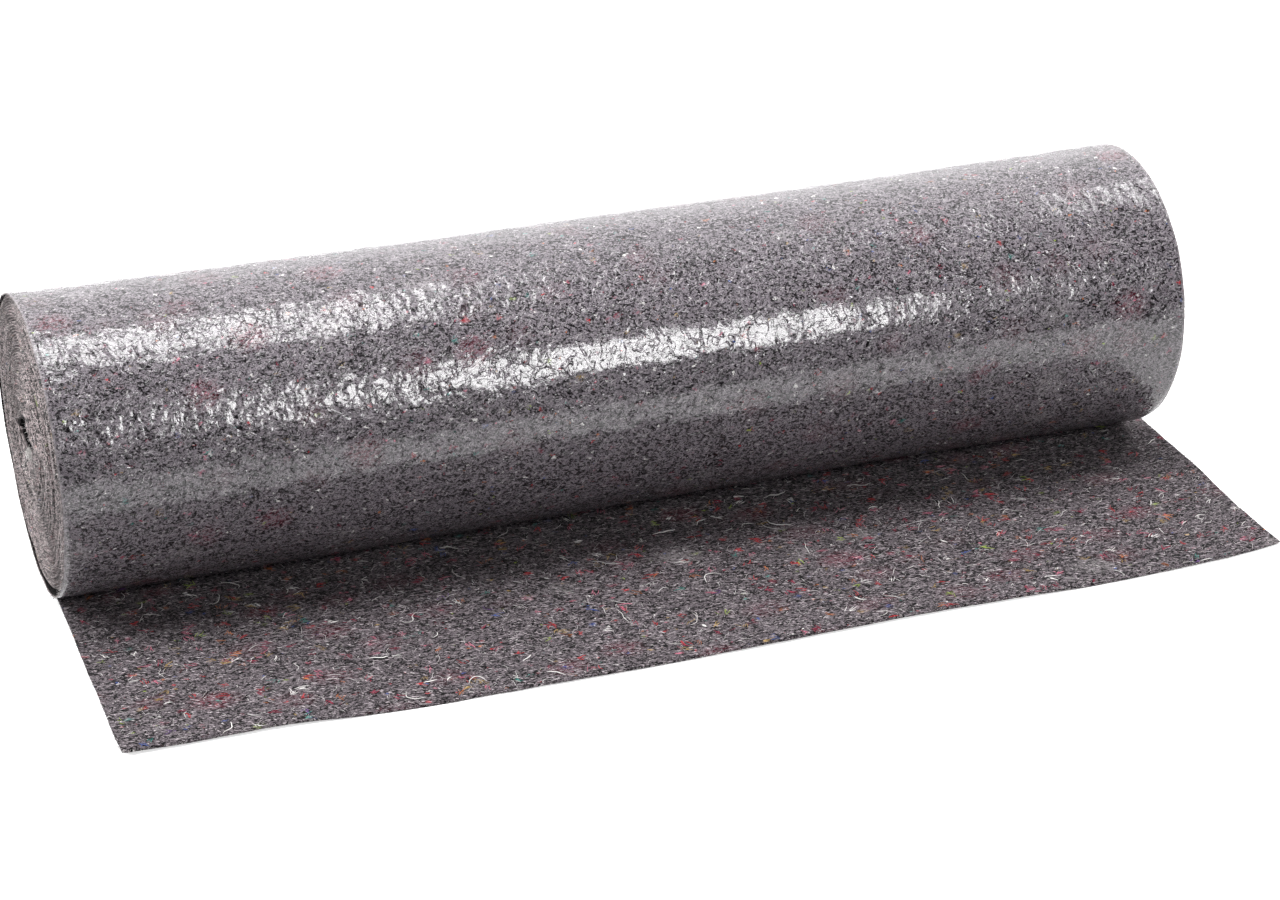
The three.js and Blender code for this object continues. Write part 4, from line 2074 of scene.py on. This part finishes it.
@dataclass
class Studio:
    """Floor, lights, surroundings and camera."""

    target: Vector
    floor_size: float = 12.0
    floor_front: float = 1.0
    floor_glow: float = 0.5
    floor_bounce: float = 0.5
    floor_roughness: float = 0.9
    floor_tones: tuple[float, float] = (0.88, 0.93)
    floor_clouds: Grain = Grain(size=900)
    azimuth: float = -20.80
    elevation: float = 24.83
    tilt: float = 0.12
    distance: float = 2.9
    lens: float = 95.12
    sensor: float = 36.0
    clip: tuple[float, float] = (0.05, 200.0)
    room_front: Colour = (0.04, 0.04, 0.042, 1)
    room_front_above: Colour = (0.15, 0.15, 0.153, 1)
    room_back: tuple[float, float, float] = (1.15, 2.1, 1.3)

    SOFTBOXES = (
        Softbox("front_softbox", azimuth=19.5, elevation=29, size=(1.15, 1.35), radiance=17),
        Softbox("overhead_softbox", azimuth=109, elevation=84, size=(0.7, 1.8), radiance=14, distance=3.4),
        Softbox("high_softbox", azimuth=-98, elevation=66, size=(1.6, 1.6), radiance=11.5),
        Softbox("left_softbox", azimuth=-110, elevation=34, size=(1.6, 1.4), radiance=16.5),
        Softbox("right_softbox", azimuth=101, elevation=48, size=(1.4, 1.4), radiance=9),
    )

    def floor(self) -> None:
        """Lays a plain pale floor, which glows a little and throws little light on the roll."""
        half, front = self.floor_size / 2, -self.floor_front
        corners = [(-half, front, 0), (half, front, 0), (half, half, 0), (-half, half, 0)]
        mesh = bpy.data.meshes.new("floor")
        mesh.from_pydata(corners, [], [(0, 1, 2, 3)])
        floor = new_object("floor", mesh)
        material, graph, shader = new_material("pale_floor")
        clouds = self.floor_clouds.over(graph.place())
        tone = graph.blend(clouds, *(grey(tone) for tone in self.floor_tones))
        seen = 1.0 - graph.out(graph.add("LightPath"), "Is Diffuse Ray")
        graph.set(shader, Base_Color=graph.blend(seen, grey(self.floor_bounce), tone))
        graph.set(shader, Emission_Color=graph.blend(seen, grey(0), tone))
        graph.set(shader, Roughness=self.floor_roughness, Specular_IOR_Level=0.0)
        graph.set(shader, Emission_Strength=self.floor_glow)
        mesh.materials.append(material)

    def surroundings(self) -> None:
        """A pale room, bright behind the roll and dim in front of it where no lamp stands."""
        world = bpy.data.worlds.new("studio")
        bpy.context.scene.world = world
        world.use_nodes = True
        graph = Graph(world.node_tree)
        generated = graph.out(graph.add("TexCoord"), "Generated")
        way = graph.add("SeparateXYZ", Vector=generated)
        behind = graph.out(way, 1).ramp(low=-0.05, high=0.4)
        above = graph.out(way, 2).ramp(low=0.35, high=0.9)
        raised = graph.out(way, 2).ramp(low=0.0, high=0.3)
        front = graph.blend(above, self.room_front, self.room_front_above)
        low, middle, high = (grey(tone) for tone in self.room_back)
        back = graph.blend(above, graph.blend(raised, low, middle), high)
        seen = graph.out(graph.add("LightPath"), "Is Camera Ray")
        room = graph.blend(seen, graph.blend(behind, front, back), grey(1))
        graph.set(world.node_tree.nodes["Background"], Color=room)

    def camera(self) -> None:
        """Sets up the camera, a little above and to the left of the roll."""
        data = bpy.data.cameras.new("camera")
        data.lens, data.sensor_width = self.lens, self.sensor
        data.clip_start, data.clip_end = self.clip
        camera = new_object("camera", data)
        back = direction(self.azimuth, self.elevation)
        camera.location = self.target + back * self.distance
        camera.rotation_mode = "QUATERNION"
        roll = Quaternion((0, 0, 1), math.radians(-self.tilt))
        camera.rotation_quaternion = back.to_track_quat("Z", "Y") @ roll
        bpy.context.scene.camera = camera

    def build(self) -> None:
        """Sets up the whole studio, the camera first."""
        self.camera()
        self.floor()
        self.surroundings()
        for softbox in self.SOFTBOXES:
            softbox.build(self.target)
        bpy.context.scene.view_settings.view_transform = "Standard"


# ---- The scene ---------------------------------------------------------------------------

LOOKS_PAST_MIDDLE = Vector((5.6 * MM, 40.6 * MM, -65.3 * MM))
FIRST_FIBRE_SEED = 40


def studio_target() -> Vector:
    """The point that the camera looks at, worked out from the object's box."""
    low, high = (Vector(corner) for corner in CAD_BOX)
    return (low + high) / 2 + LOOKS_PAST_MIDDLE


def report(piece: bpy.types.Object) -> None:
    """Logs a piece's name and number of triangles."""
    triangles = sum(len(face.vertices) - 2 for face in piece.data.polygons)
    log.info("%s: %d triangles", piece.name, triangles)


def main() -> None:
    """Builds every piece in order."""
    logging.basicConfig(level=logging.INFO, format="%(message)s")
    Studio(target=studio_target()).build()

    shared = {"felt": MixedFelt(), "flecks": DyedFlecks(), "creases": FilmCreases()}
    groups = {name: effect.group() for name, effect in shared.items()}
    finishes = {
        Face.FILM: FILM_FACED.make(groups),
        Face.FELT: OPEN_FELT.make(groups),
        Face.CUT: CUT_FELT.make(groups),
        Face.INNER: INNER_FILM.make(groups),
        Face.HOLLOW: SHADE_PAINTED_FELT.make(groups),
    }
    layout = ClothLayout()
    cloth, body = OuterCloth(layout), WoundBody(layout)
    for part in (cloth, body):
        piece = part.build()
        part.dress(piece, finishes)
        report(piece)

    fibre = FibreFinish().make()
    loose = [LooseFibres(cloth, kind, FIRST_FIBRE_SEED + k) for k, kind in enumerate(FeltFibres)]
    for part in (*loose, EdgeFuzz(cloth, body), EyeTuft(layout)):
        piece = part.build()
        piece.data.materials.append(fibre)
        report(piece)


if __name__ == "__main__":
    main()
